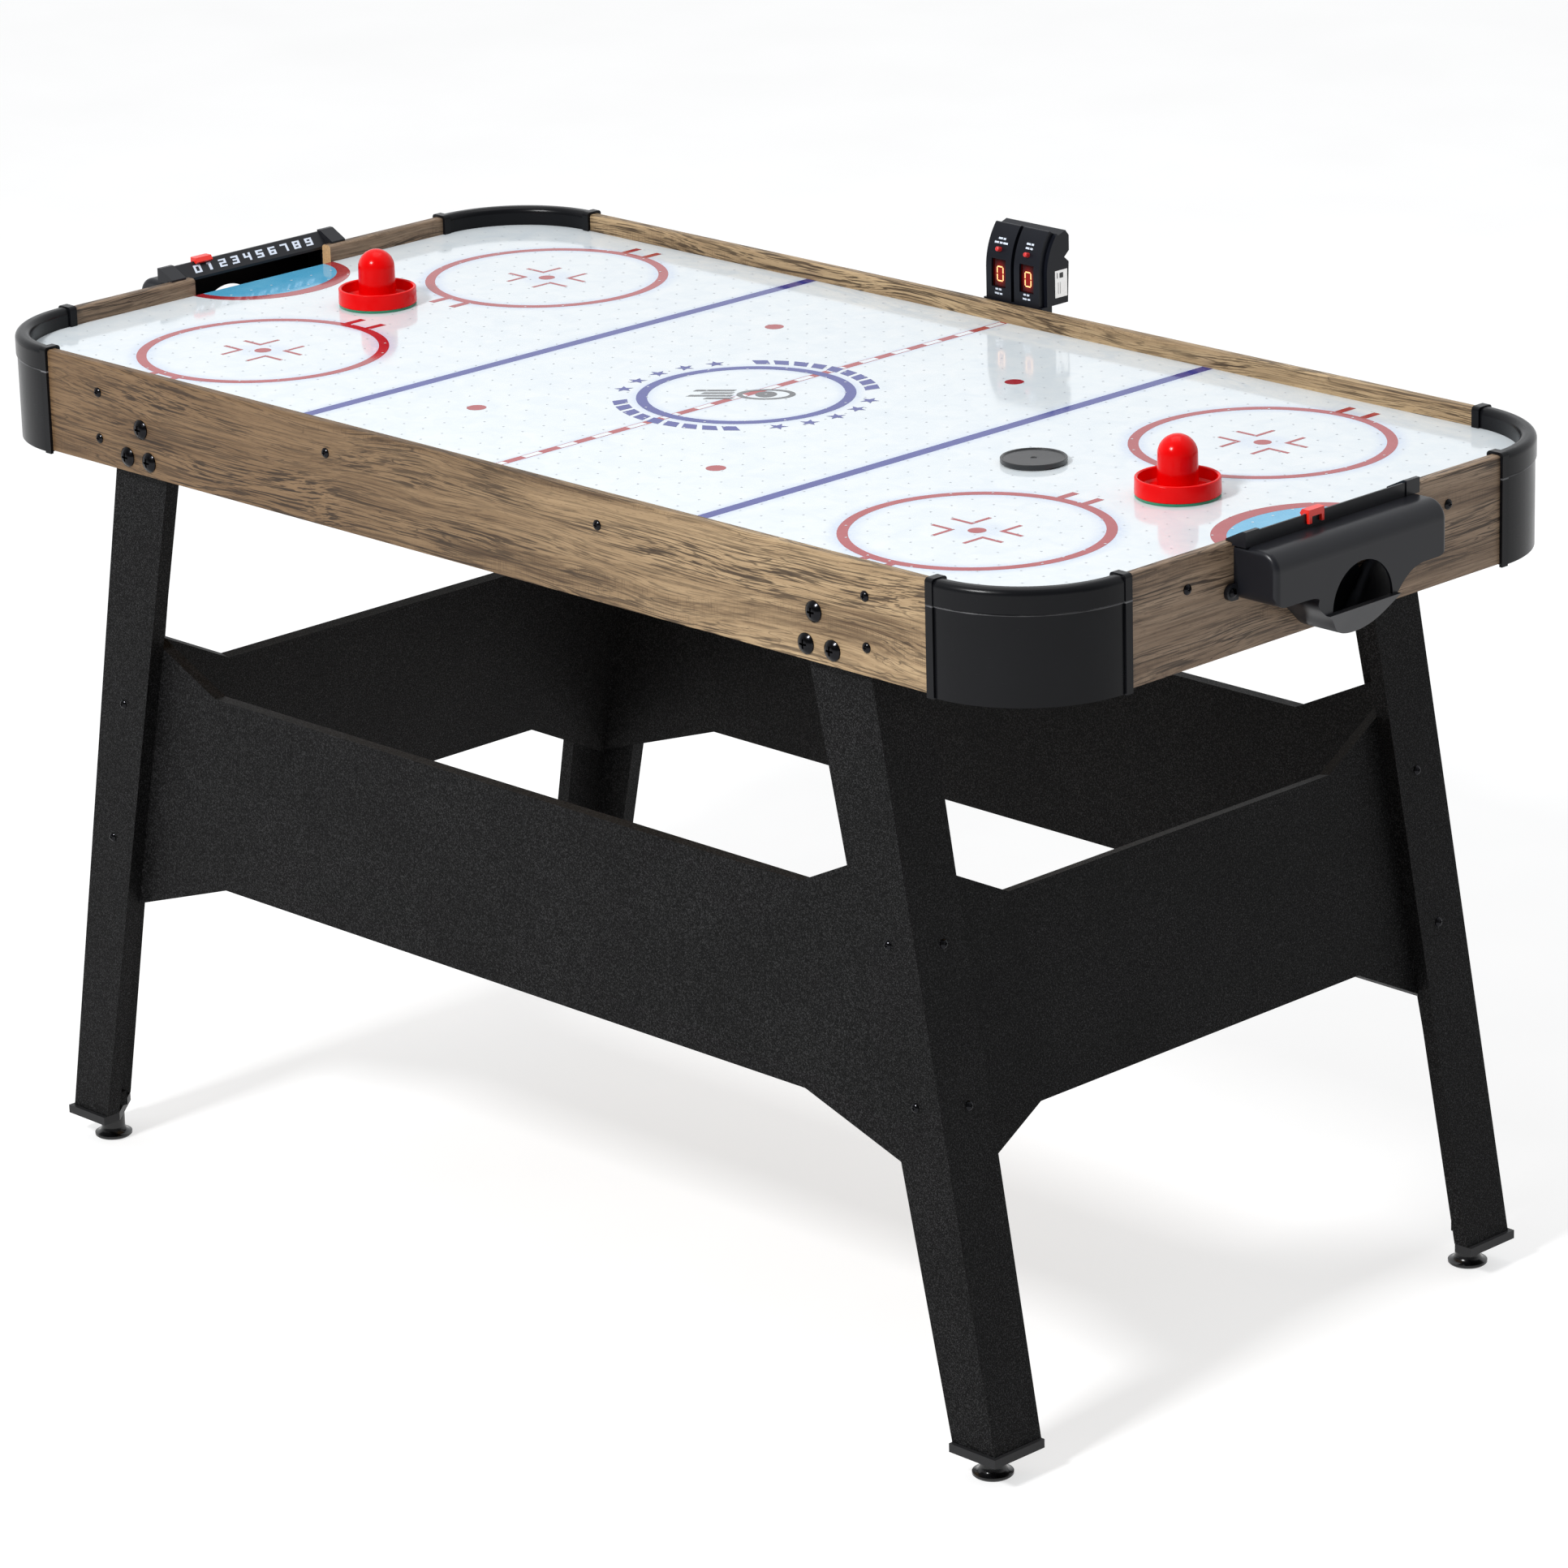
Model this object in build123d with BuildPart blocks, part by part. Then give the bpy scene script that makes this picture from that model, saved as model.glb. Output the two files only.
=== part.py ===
from build123d import *
import os
from math import atan, cos, degrees, radians, sin

# Air hockey table on four splayed legs. X runs along the table, Y across it, Z up.
# The origin is on the floor, under the middle of the playfield. Front is -Y, right is +X.
# All lengths are in millimetres.

# ---------------------------------------------------------------- driving dimensions
table_length = 1372.0
table_width = 700.0
rail_top = 797.0
apron_height = 96.5
board = 12.0                 # thickness of the rail boards and the stretcher panels
rail_above_field = 16.5      # how far the rail stands above the playfield
corner_reach = 116.0         # from the outer corner to the end of a corner cap
rib_width = 8.0              # the raised band at each end of a corner cap

field_board = 6.0
batten_height = 12.0
plenum_skin = 3.0

goal_half_width = 86.0
goal_box_half = 108.0        # half width of the goal box
goal_box_depth = 47.0
goal_box_drop = 50.0         # from the rail top to the lower edge of the goal box
hand_hole_radius = 38.0
scoop_bottom = 702.0
plastic_wall = 2.5

leg_board = 15.0
leg_top = 757.0
leg_bottom = 31.0
leg_outer_lean = 0.1889      # X run per unit of drop, outer edge
leg_inner_lean = 0.2234      # the same for the inner edge, so that the leg tapers
leg_outer_at_apron = 491.0   # X of the outer edge at the height of the apron's lower edge
leg_inner_at_apron = 418.0
leg_side_top = 62.0          # width of the leg on the end face, at the apron
leg_side_bottom = 57.0
foot_plate = 8.0
foot_plate_proud = 4.0

stretcher_top = 489.0
stretcher_bottom = 301.0
upper_screw_z = 463.0
lower_screw_z = 325.0

striker_radius = 37.5
striker_places = {"right": (519.0, 8.0), "left": (-511.0, 5.0)}
puck_radius = 29.5
puck_place = (354.0, 4.0)
air_gap = 0.3                # loose pieces float this far above the playfield

running_gap = 0.3            # between pieces that move past each other

# ---------------------------------------------------------------- derived dimensions
half_length = table_length / 2
half_width = table_width / 2
apron_bottom = rail_top - apron_height
field_top = rail_top - rail_above_field
field_bottom = field_top - field_board
batten_bottom = field_bottom - batten_height
skin_bottom = batten_bottom - plenum_skin
inner_x = half_length - board
inner_y = half_width - board
cap_radius = corner_reach - rib_width
arc_x = half_length - cap_radius       # centre of a corner cap's arc
arc_y = half_width - cap_radius
board_socket = rib_width - 2           # how far a rail board reaches into a cap
leg_face_y = inner_y                   # the leg boards stand against the apron's inner face
leg_lean_angle = degrees(atan(leg_outer_lean))

corners = {"front_right": (1, -1), "front_left": (-1, -1), "back_right": (1, 1), "back_left": (-1, 1)}

os.makedirs("parts", exist_ok=True)


def save(piece, label):
    """Label a finished piece and write it."""
    piece.part.label = label
    export_step(piece.part, f"parts/{label}.step")


def at_corner(shape, side_x, side_y):
    """Mirror a shape made at the front right corner to another corner."""
    if side_x < 0:
        shape = shape.mirror(Plane.YZ)
    if side_y > 0:
        shape = shape.mirror(Plane.XZ)
    return shape


def leg_outer_x(z):
    return leg_outer_at_apron + (apron_bottom - z) * leg_outer_lean


def leg_inner_x(z):
    return leg_inner_at_apron + (apron_bottom - z) * leg_inner_lean


# ---------------------------------------------------------------- fasteners, outside positions
# Bolts that hold a leg to the apron: X from the middle of the table, and height.
leg_bolt_spots = [(438.0, 744.0), (428.0, 714.5), (459.0, 714.5)]
leg_bolt_radius = 3.0
leg_bolt_head = 9.2
# Small screws through the long aprons into the battens and the corner brackets.
side_screw_spots = [(177.0, 769.0), (498.0, 769.0), (499.0, 725.0)]
end_screw_spots = [(165.0, 769.0)]
small_screw_radius = 2.0
small_screw_head = 4.6
small_screw_length = 24.0
hole_play = 0.1


def long_drills(spots, radius):
    """Rods along Y at the given X and Z, on both sides of the middle, to cut screw holes with."""
    with BuildPart() as rods:
        with BuildSketch(Plane.XZ.offset(-half_width - 5)):
            for x, z in spots:
                with Locations((x, z), (-x, z)):
                    Circle(radius + hole_play)
        extrude(amount=table_width + 10)
    return rods.part


# ---------------------------------------------------------------- rails
rail_edge_radius = 3.5
side_rail_half = half_length - corner_reach + board_socket
end_rail_half = half_width - corner_reach + board_socket

for name, side in {"side_rail_front": -1, "side_rail_back": 1}.items():
    with BuildPart() as side_rail:
        with BuildSketch(Plane.XY.offset(apron_bottom)):
            with Locations((0, side * (half_width - board / 2))):
                Rectangle(2 * side_rail_half, board)
        extrude(amount=apron_height)
        top_edges = side_rail.faces().sort_by(Axis.Z)[-1].edges().filter_by(Axis.X)
        fillet(top_edges, rail_edge_radius)
        add(long_drills(leg_bolt_spots, leg_bolt_radius), mode=Mode.SUBTRACT)
        add(long_drills(side_screw_spots, small_screw_radius), mode=Mode.SUBTRACT)
    save(side_rail, name)

for name, side in {"end_rail_right": 1, "end_rail_left": -1}.items():
    with BuildPart() as end_rail:
        with BuildSketch(Plane.XY.offset(apron_bottom)):
            with Locations((side * (half_length - board / 2), 0)):
                Rectangle(board, 2 * end_rail_half)
        extrude(amount=apron_height)
        top_edges = end_rail.faces().sort_by(Axis.Z)[-1].edges().filter_by(Axis.Y)
        fillet(top_edges, rail_edge_radius)
        # The goal mouth is cut from the top of the rail down to the underside of the playfield.
        with BuildSketch(Plane.XY.offset(field_bottom)):
            with Locations((side * (half_length - board / 2), 0)):
                Rectangle(board + 2, 2 * goal_half_width)
        extrude(amount=rail_top - field_bottom + 1, mode=Mode.SUBTRACT)
        for y, z in end_screw_spots:
            with BuildSketch(Plane.YZ.offset(-half_length - 5)):
                with Locations((y, z), (-y, z)):
                    Circle(small_screw_radius + hole_play)
            extrude(amount=table_length + 10, mode=Mode.SUBTRACT)
    save(end_rail, name)

# ---------------------------------------------------------------- corner caps
cap_band = 19.5              # height of the proud band along the top
cap_proud = 0.8
band_proud = 2.0
rib_proud = 3.0
cap_rise = 1.5               # height of the cap over the rail top
rib_rise = 2.5
cap_drop = 2.5               # how far the cap hangs below the apron
cap_round = 6.0
rib_round = 3.5
inner_overhang = 1.0
groove_depth = 0.9           # the groove under the proud band
groove_height = 1.6


def cap_section():
    """The cap's wall in section, as pairs of distance out from the rail's outer face and height."""
    s_in = -board - inner_overhang
    band_z = rail_top - cap_band
    wall_s = cap_proud - plastic_wall
    under_top = rail_top + cap_rise - plastic_wall
    return [
        (s_in, field_top), (s_in, rail_top + cap_rise), (band_proud, rail_top + cap_rise),
        (band_proud, band_z), (cap_proud - groove_depth, band_z - 0.3),
        (cap_proud, band_z - groove_height), (cap_proud, apron_bottom - cap_drop),
        (wall_s, apron_bottom - cap_drop), (wall_s, under_top), (s_in + plastic_wall, under_top),
        (s_in + plastic_wall, field_top),
    ]


# The raised band at the cap's end on the long side: solid where it meets the arc, then a sleeve
# over the rail board.
with BuildPart() as end_band:
    band_plane = Plane(origin=(arc_x, -half_width, 0), x_dir=(0, -1, 0), z_dir=(-1, 0, 0))
    with BuildSketch(band_plane) as band_profile:
        with BuildLine():
            Polyline([
                (-board - rib_proud, field_top), (-board - rib_proud, rail_top + rib_rise),
                (rib_proud, rail_top + rib_rise), (rib_proud, apron_bottom - cap_drop - 0.5),
                (-board, apron_bottom - cap_drop - 0.5), (-board, field_top),
            ], close=True)
        make_face()
        fillet(band_profile.vertices().sort_by(Axis.Y)[-2:], rib_round)
    extrude(amount=rib_width)
    with BuildSketch(band_plane.offset(rib_width - board_socket)):
        with Locations((-board / 2, rail_top - apron_height)):
            Rectangle(board, 2 * apron_height)
    extrude(amount=board_socket, mode=Mode.SUBTRACT)

with BuildPart() as corner_cap:
    # The quarter-round wall, turned about the vertical through the arc's centre.
    arc_plane = Plane(origin=(arc_x, -arc_y, 0), x_dir=(1, 0, 0), z_dir=(0, -1, 0))
    with BuildSketch(arc_plane) as cap_profile:
        with BuildLine():
            Polyline([(cap_radius + s, z) for s, z in cap_section()], close=True)
        make_face()
        fillet(cap_profile.vertices().sort_by(Axis.Y)[-2:], cap_round)
    revolve(axis=Axis((arc_x, -arc_y, 0), (0, 0, 1)), revolution_arc=-90)
    add(end_band.part)
    mirror(end_band.part, about=Plane(origin=(arc_x, -arc_y, 0), z_dir=(1, 1, 0)))

for corner, (side_x, side_y) in corners.items():
    with BuildPart() as cap:
        add(at_corner(corner_cap.part, side_x, side_y))
    save(cap, f"corner_cap_{corner}")

# Steel straps behind the caps tie each long rail to its end rail.
strap_width = 50.0
strap_thickness = 2.0
strap_flange = 30.0
strap_reach = 38.0           # from the arc's centre to where the strap turns onto the rails
strap_low = 705.0
with BuildPart() as corner_strap:
    near = strap_thickness / 2
    with BuildSketch(Plane.XY.offset(strap_low)):
        with BuildLine():
            Polyline(
                (arc_x - strap_reach - strap_flange, -inner_y + near), (arc_x - strap_reach, -inner_y + near),
                (inner_x - near, -arc_y + strap_reach), (inner_x - near, -arc_y + strap_reach + strap_flange),
            )
        trace(line_width=strap_thickness)
    extrude(amount=strap_width)

with BuildPart() as corner_straps:
    for side_x, side_y in corners.values():
        add(at_corner(corner_strap.part, side_x, side_y))
save(corner_straps, "corner_straps")

# ---------------------------------------------------------------- playfield and air box
field_corner = cap_radius - board
fan_hole_radius = 52.0

with BuildPart() as playfield:
    with BuildSketch(Plane.XY.offset(field_bottom)):
        RectangleRounded(2 * inner_x, 2 * inner_y, field_corner)
    extrude(amount=field_board)
save(playfield, "playfield")

batten_width = 20.0
with BuildPart() as battens:
    with BuildSketch(Plane.XY.offset(batten_bottom)):
        for side in (-1, 1):
            with Locations((0, side * (inner_y - batten_width / 2))):
                Rectangle(2 * (arc_x - 20), batten_width)
            with Locations((side * (inner_x - batten_width / 2), 0)):
                Rectangle(batten_width, 2 * (arc_y - 10))
            with Locations((side * 225, 0)):
                Rectangle(batten_width, 380)
            with Locations((side * 450, 0)):
                Rectangle(batten_width, 380)
    extrude(amount=batten_height)
save(battens, "plenum_battens")

with BuildPart() as plenum_floor:
    with BuildSketch(Plane.XY.offset(skin_bottom)):
        RectangleRounded(2 * inner_x, 2 * inner_y, field_corner)
        Circle(fan_hole_radius, mode=Mode.SUBTRACT)
    extrude(amount=plenum_skin)
save(plenum_floor, "plenum_floor")

# ---------------------------------------------------------------- fan under the air box
fan_duct_radius = 55.5
fan_duct_bottom = 716.0
motor_radius = 17.0
shaft_radius = 2.0
motor_top = 741.0
guard_thickness = 3.0
guard_ring_radii = (27.0, 35.0, 43.0)
housing_flange = 136.0
housing_screw_pitch = 118.0

with BuildPart() as fan_housing:
    with BuildSketch(Plane.XY.offset(skin_bottom - plastic_wall)):
        RectangleRounded(housing_flange, housing_flange, 10)
        Circle(fan_duct_radius, mode=Mode.SUBTRACT)
        with GridLocations(housing_screw_pitch, housing_screw_pitch, 2, 2):
            Circle(small_screw_radius + hole_play, mode=Mode.SUBTRACT)
    extrude(amount=plastic_wall)
    with BuildSketch(Plane.XY.offset(fan_duct_bottom)):
        Circle(fan_duct_radius + plastic_wall)
        Circle(fan_duct_radius, mode=Mode.SUBTRACT)
    extrude(amount=skin_bottom - fan_duct_bottom)
save(fan_housing, "fan_housing")

with BuildPart() as fan_guard:
    with BuildSketch(Plane.XY.offset(fan_duct_bottom - guard_thickness)):
        Circle(fan_duct_radius + plastic_wall)
        Circle(fan_duct_radius - 2, mode=Mode.SUBTRACT)
        for radius in guard_ring_radii:
            Circle(radius + 1)
            Circle(radius - 1, mode=Mode.SUBTRACT)
        with PolarLocations(0, 4):
            with Locations((35, 0)):
                Rectangle(42, 3)
        Circle(motor_radius + 2)
    extrude(amount=guard_thickness)
save(fan_guard, "fan_guard")

with BuildPart() as fan_motor:
    with BuildSketch(Plane.XY.offset(fan_duct_bottom)):
        Circle(motor_radius)
    extrude(amount=motor_top - fan_duct_bottom)
    with BuildSketch(Plane.XY.offset(motor_top)):
        Circle(5)
    extrude(amount=2)
    with BuildSketch(Plane.XY.offset(fan_duct_bottom + 4)):
        Circle(shaft_radius + 0.05)
    extrude(amount=motor_top, mode=Mode.SUBTRACT)
save(fan_motor, "fan_motor")

fan_hub_radius = 22.0
fan_hub_bottom = 720.0
fan_hub_top = 748.0
blade_count = 7
with BuildPart() as fan_impeller:
    with BuildSketch(Plane.XY.offset(fan_hub_bottom)):
        Circle(fan_hub_radius)
        Circle(motor_radius + 2, mode=Mode.SUBTRACT)
    extrude(amount=fan_hub_top - fan_hub_bottom)
    with BuildSketch(Plane.XY.offset(fan_hub_top - 3)):
        Circle(fan_hub_radius)
    extrude(amount=3)
    with BuildSketch(Plane.XY.offset(fan_duct_bottom + 6)):
        Circle(shaft_radius)
    extrude(amount=fan_hub_top - fan_duct_bottom - 6)
    with Locations((0, 0, (fan_hub_bottom + fan_hub_top) / 2)):
        with PolarLocations(fan_hub_radius + 15, blade_count):
            Box(32, 2.2, 24, rotation=(50, 0, 0))
save(fan_impeller, "fan_impeller")

with BuildPart() as power_socket:
    with BuildSketch(Plane.XY.offset(skin_bottom - 22)):
        with Locations((0, 100)):
            RectangleRounded(26, 18, 2)
    extrude(amount=22)
    with BuildSketch(Plane.XZ.offset(-109)):
        with Locations((0, skin_bottom - 12)):
            Circle(5.5)
    extrude(amount=12, mode=Mode.SUBTRACT)
    with BuildSketch(Plane.XZ.offset(-107)):
        with Locations((0, skin_bottom - 12)):
            Circle(1.2)
    extrude(amount=10)
save(power_socket, "power_socket")

# ---------------------------------------------------------------- legs
side_inner_y_top = leg_side_top + (leg_top - apron_bottom) * (leg_side_top - leg_side_bottom) / apron_bottom
foot_centre_x = (leg_outer_x(leg_bottom) + leg_inner_x(leg_bottom)) / 2 - 1.5
foot_centre_y = leg_face_y - 25.0
stem_radius = 4.0
stem_above_plate = 9.0         # how far the stem stands up into the corner block

with BuildPart() as leg_long_board:
    with BuildSketch(Plane.XZ.offset(leg_face_y - leg_board)):
        with BuildLine():
            Polyline(
                (leg_inner_x(leg_bottom), leg_bottom), (leg_outer_x(leg_bottom), leg_bottom),
                (leg_outer_x(leg_top), leg_top), (leg_inner_x(leg_top), leg_top), close=True,
            )
        make_face()
    extrude(amount=leg_board)
    add(long_drills(leg_bolt_spots, leg_bolt_radius), mode=Mode.SUBTRACT)

# The end board leans with the leg's outer edge.
lean_out = Vector(cos(radians(leg_lean_angle)), 0, sin(radians(leg_lean_angle)))
board_inner_y = leg_face_y - leg_board
slant_length = (leg_top - leg_bottom) / cos(radians(leg_lean_angle))


def lean_plane(depth):
    """The leg's outer end face, moved inward by depth; local x is -Y, local y runs up the leg."""
    foot = Vector(leg_outer_x(leg_bottom), 0, leg_bottom) - lean_out * depth
    return Plane(origin=foot, x_dir=(0, 1, 0), z_dir=lean_out)


with BuildPart() as leg_end_board:
    with BuildSketch(lean_plane(leg_board)):
        with BuildLine():
            low, high = -30.0, slant_length + 30
            Polyline(
                (-board_inner_y, low), (-leg_face_y + leg_side_bottom, low),
                (-leg_face_y + side_inner_y_top, high), (-board_inner_y, high), close=True,
            )
        make_face()
    extrude(amount=leg_board)
    # Both ends are cut level, at the foot plate and under the air box.
    split(bisect_by=Plane.XY.offset(leg_top), keep=Keep.BOTTOM)
    split(bisect_by=Plane.XY.offset(leg_bottom), keep=Keep.TOP)

block_width = 20.0
block_height = 14.0


def leg_inside_x(z):
    """X of the end board's inner face."""
    return leg_outer_x(z) - leg_board / cos(radians(leg_lean_angle))


with BuildPart() as leg_block:
    with BuildSketch(Plane.XZ.offset(board_inner_y - block_width)):
        with BuildLine():
            block_top = leg_bottom + block_height
            block_inner_x = leg_inside_x(block_top) - block_width
            Polyline((block_inner_x, leg_bottom), (leg_inside_x(leg_bottom), leg_bottom),
                     (leg_inside_x(block_top), block_top), (block_inner_x, block_top), close=True)
        make_face()
    extrude(amount=block_width)
    with BuildSketch(Plane.XY.offset(leg_bottom)):
        with Locations((foot_centre_x, -foot_centre_y)):
            Circle(stem_radius + running_gap)
    extrude(amount=block_height, mode=Mode.SUBTRACT)

# The foot plate ends flush with the boards' inner edges; a slanting edge closes the corner behind.
plate_inner = leg_inner_x(leg_bottom)
plate_outer = leg_outer_x(leg_bottom) + foot_plate_proud
plate_front = leg_face_y + foot_plate_proud
plate_edge = leg_board + 4.0           # width of the plate's two ends
with BuildPart() as leg_foot_plate:
    with BuildSketch(Plane.XY.offset(leg_bottom - foot_plate)):
        with BuildLine():
            Polyline((plate_inner, -plate_front), (plate_outer, -plate_front),
                     (plate_outer, leg_side_bottom - leg_face_y),
                     (plate_outer - plate_edge, leg_side_bottom - leg_face_y),
                     (plate_inner, plate_edge - plate_front), close=True)
        make_face()
        with Locations((foot_centre_x, -foot_centre_y)):
            Circle(stem_radius + running_gap, mode=Mode.SUBTRACT)
    extrude(amount=foot_plate)

# A levelling foot: flared pad, neck and threaded stem, turned as one piece.
pad_radius = 18.0
neck_radius = 11.5
with BuildPart() as levelling_foot:
    with BuildSketch(Plane(origin=(foot_centre_x, -foot_centre_y, 0), x_dir=(1, 0, 0), z_dir=(0, -1, 0))):
        with BuildLine():
            neck_top = leg_bottom - foot_plate - running_gap
            Polyline((neck_radius, 9.5), (neck_radius, neck_top), (stem_radius, neck_top),
                     (stem_radius, leg_bottom + stem_above_plate), (0, leg_bottom + stem_above_plate), (0, 0),
                     (pad_radius - 1.5, 0), (pad_radius, 1.5), (pad_radius, 3.5))
            Spline((pad_radius, 3.5), (neck_radius + 1.4, 6.2), (neck_radius, 9.5))
        make_face()
    revolve(axis=Axis((foot_centre_x, -foot_centre_y, 0), (0, 0, 1)))

for corner, (side_x, side_y) in corners.items():
    with BuildPart() as long_board_copy:
        add(at_corner(leg_long_board.part, side_x, side_y))
    save(long_board_copy, f"leg_side_board_{corner}")
    with BuildPart() as end_board_copy:
        add(at_corner(leg_end_board.part, side_x, side_y))
    save(end_board_copy, f"leg_end_board_{corner}")
    with BuildPart() as foot_copy:
        add(at_corner(levelling_foot.part, side_x, side_y))
    save(foot_copy, f"levelling_foot_{corner}")

with BuildPart() as leg_foot_plates:
    for side_x, side_y in corners.values():
        add(at_corner(leg_foot_plate.part, side_x, side_y))
save(leg_foot_plates, "leg_foot_plates")

with BuildPart() as leg_blocks:
    for side_x, side_y in corners.values():
        add(at_corner(leg_block.part, side_x, side_y))
save(leg_blocks, "leg_corner_blocks")

# ---------------------------------------------------------------- stretcher panels
side_waist = 385.0           # X where a long stretcher starts to widen
side_flare_up = 0.47
side_flare_down = 0.33
end_waist = 206.0            # Y where an end stretcher starts to widen
end_flare = 0.5
edge_chamfer = 1.5


def flare_end(z_start, flare):
    """Where a flared edge that starts at the waist meets the inner face of the end board."""
    # z = z_start + flare * (x - side_waist) meets x = leg_inside_x(z)
    x = (leg_inside_x(z_start) + leg_outer_lean * flare * side_waist) / (1 + leg_outer_lean * flare)
    return x, z_start + flare * (x - side_waist)


top_end = flare_end(stretcher_top, side_flare_up)
bottom_end = flare_end(stretcher_bottom, -side_flare_down)

for name, side in {"side_stretcher_front": -1, "side_stretcher_back": 1}.items():
    with BuildPart() as side_stretcher:
        inner_face = board_inner_y - board if side < 0 else -board_inner_y
        with BuildSketch(Plane.XZ.offset(inner_face)):
            with BuildLine():
                Polyline(
                    (-side_waist, stretcher_top), (side_waist, stretcher_top), top_end, bottom_end,
                    (side_waist, stretcher_bottom), (-side_waist, stretcher_bottom),
                    (-bottom_end[0], bottom_end[1]), (-top_end[0], top_end[1]), close=True,
                )
            make_face()
        extrude(amount=board)
    save(side_stretcher, name)

end_stretcher_half = board_inner_y - board


def up_the_lean(z):
    """Distance along the leaning face for a height z."""
    return (z - leg_bottom) / cos(radians(leg_lean_angle))


for name, side in {"end_stretcher_right": 1, "end_stretcher_left": -1}.items():
    with BuildPart() as end_stretcher:
        with BuildSketch(lean_plane(leg_board + board)):
            with BuildLine():
                rise = end_flare * (end_stretcher_half - end_waist)
                upper = up_the_lean(stretcher_top - 7)
                lower = up_the_lean(stretcher_bottom)
                Polyline(
                    (-end_waist, upper), (end_waist, upper), (end_stretcher_half, upper + rise),
                    (end_stretcher_half, lower - rise), (end_waist, lower), (-end_waist, lower),
                    (-end_stretcher_half, lower - rise), (-end_stretcher_half, upper + rise), close=True,
                )
            make_face()
        extrude(amount=board)
        if side < 0:
            mirror(about=Plane.YZ, mode=Mode.REPLACE)
    save(end_stretcher, name)

# ---------------------------------------------------------------- fasteners


def turned_screw(head_radius, head_height, shank_radius, length):
    """A domed head on +Z with its shank down -Z, made for placing."""
    with BuildPart() as screw:
        with BuildSketch(Plane.XZ):
            with BuildLine():
                Polyline((0, head_height), (0, -length), (shank_radius, -length), (shank_radius, 0),
                         (head_radius, 0), (head_radius, head_height * 0.25))
                ThreePointArc((head_radius, head_height * 0.25),
                              (head_radius * 0.68, head_height * 0.8), (0, head_height))
            make_face()
        revolve(axis=Axis.Z)
        # A cross recess for the driver.
        with BuildSketch(Plane.XY.offset(head_height + 0.2)):
            Rectangle(head_radius * 0.9, head_radius * 0.2)
            Rectangle(head_radius * 0.2, head_radius * 0.9)
        extrude(amount=-head_height * 0.6, mode=Mode.SUBTRACT)
    return screw.part


def facing(x, y, z, outward):
    """A plane at a point whose normal is the outward direction, for placing a screw."""
    return Plane(origin=(x, y, z), z_dir=outward)


leg_bolt = turned_screw(leg_bolt_head, 4.2, leg_bolt_radius, board + leg_board + 8)
small_screw = turned_screw(small_screw_head, 2.6, small_screw_radius, small_screw_length)
short_screw = turned_screw(4.2, 2.4, 1.8, 9)

nut_radius = 6.5
with BuildPart() as leg_bolts:
    for side in (-1, 1):
        for mirrored_x in (-1, 1):
            for x, z in leg_bolt_spots:
                with Locations(facing(mirrored_x * x, side * half_width, z, (0, side, 0))):
                    add(leg_bolt)
                with Locations(facing(mirrored_x * x, side * board_inner_y, z, (0, -side, 0))):
                    Cylinder(nut_radius, 5, align=(Align.CENTER, Align.CENTER, Align.MIN))
save(leg_bolts, "leg_bolts")

with BuildPart() as apron_screws:
    for side in (-1, 1):
        for mirrored_x in (-1, 1):
            for x, z in side_screw_spots:
                with Locations(facing(mirrored_x * x, side * half_width, z, (0, side, 0))):
                    add(small_screw)
    for side in (-1, 1):
        for y, z in end_screw_spots:
            for mirrored_y in (-1, 1):
                with Locations(facing(side * half_length, mirrored_y * y, z, (side, 0, 0))):
                    add(small_screw)
save(apron_screws, "apron_screws")

leg_screw_y = leg_face_y - 34.0
leg_screw = turned_screw(4.4, 2.4, 1.8, leg_board - 1)
with BuildPart() as leg_screws:
    for side_x, side_y in corners.values():
        for z in (upper_screw_z, lower_screw_z):
            middle_x = side_x * (leg_outer_x(z) + leg_inner_x(z)) / 2
            with Locations(facing(middle_x, side_y * leg_face_y, z, (0, side_y, 0))):
                add(leg_screw)
            outward = (side_x * lean_out.X, 0, lean_out.Z)
            with Locations(facing(side_x * leg_outer_x(z), side_y * leg_screw_y, z, outward)):
                add(leg_screw)
save(leg_screws, "leg_screws")

# ---------------------------------------------------------------- goal boxes
# Made at the right end, with X running outward from the end rail's face; the left one is turned round.
goal_top = rail_top - 2.5
goal_low = rail_top - goal_box_drop
goal_round = 17.0            # the rounded front top edge
goal_end_round = 5.0
goal_low_round = 11.0        # the two lower corners, seen from the end
scoop_lip = 728.0
scoop_proud = 4.0
shoulder_y = 80.0            # where the lower edge starts to curve down to the scoop
lug_y = goal_box_half + 5.5
lug_z = 755.0
lug_radius = 7.0
lug_thickness = 4.0
tray_back_radius = 46.0


def goal_front(inset, low_round=0.0):
    """The goal box seen from the end of the table, as a face in the YZ plane."""
    with BuildSketch(Plane.YZ) as outline:
        with BuildLine():
            half = goal_box_half - inset
            low = goal_low + inset
            Polyline((-shoulder_y, low), (-half, low), (-half, goal_top - inset),
                     (half, goal_top - inset), (half, low), (shoulder_y, low))
            Spline((shoulder_y, low), (56 - inset, 739 + inset), (40 - inset, 723 + inset),
                   (24 - inset / 2, 708 + inset), (0, scoop_bottom + inset),
                   (-24 + inset / 2, 708 + inset), (-40 + inset, 723 + inset),
                   (-56 + inset, 739 + inset), (-shoulder_y, low), tangents=((-1, 0), (-1, 0)))
        make_face()
        if low_round > 0:
            fillet(outline.vertices().filter_by(lambda v: abs(v.X) > half - 1 and v.Y < low + 1), low_round)
    return outline.sketch


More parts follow.
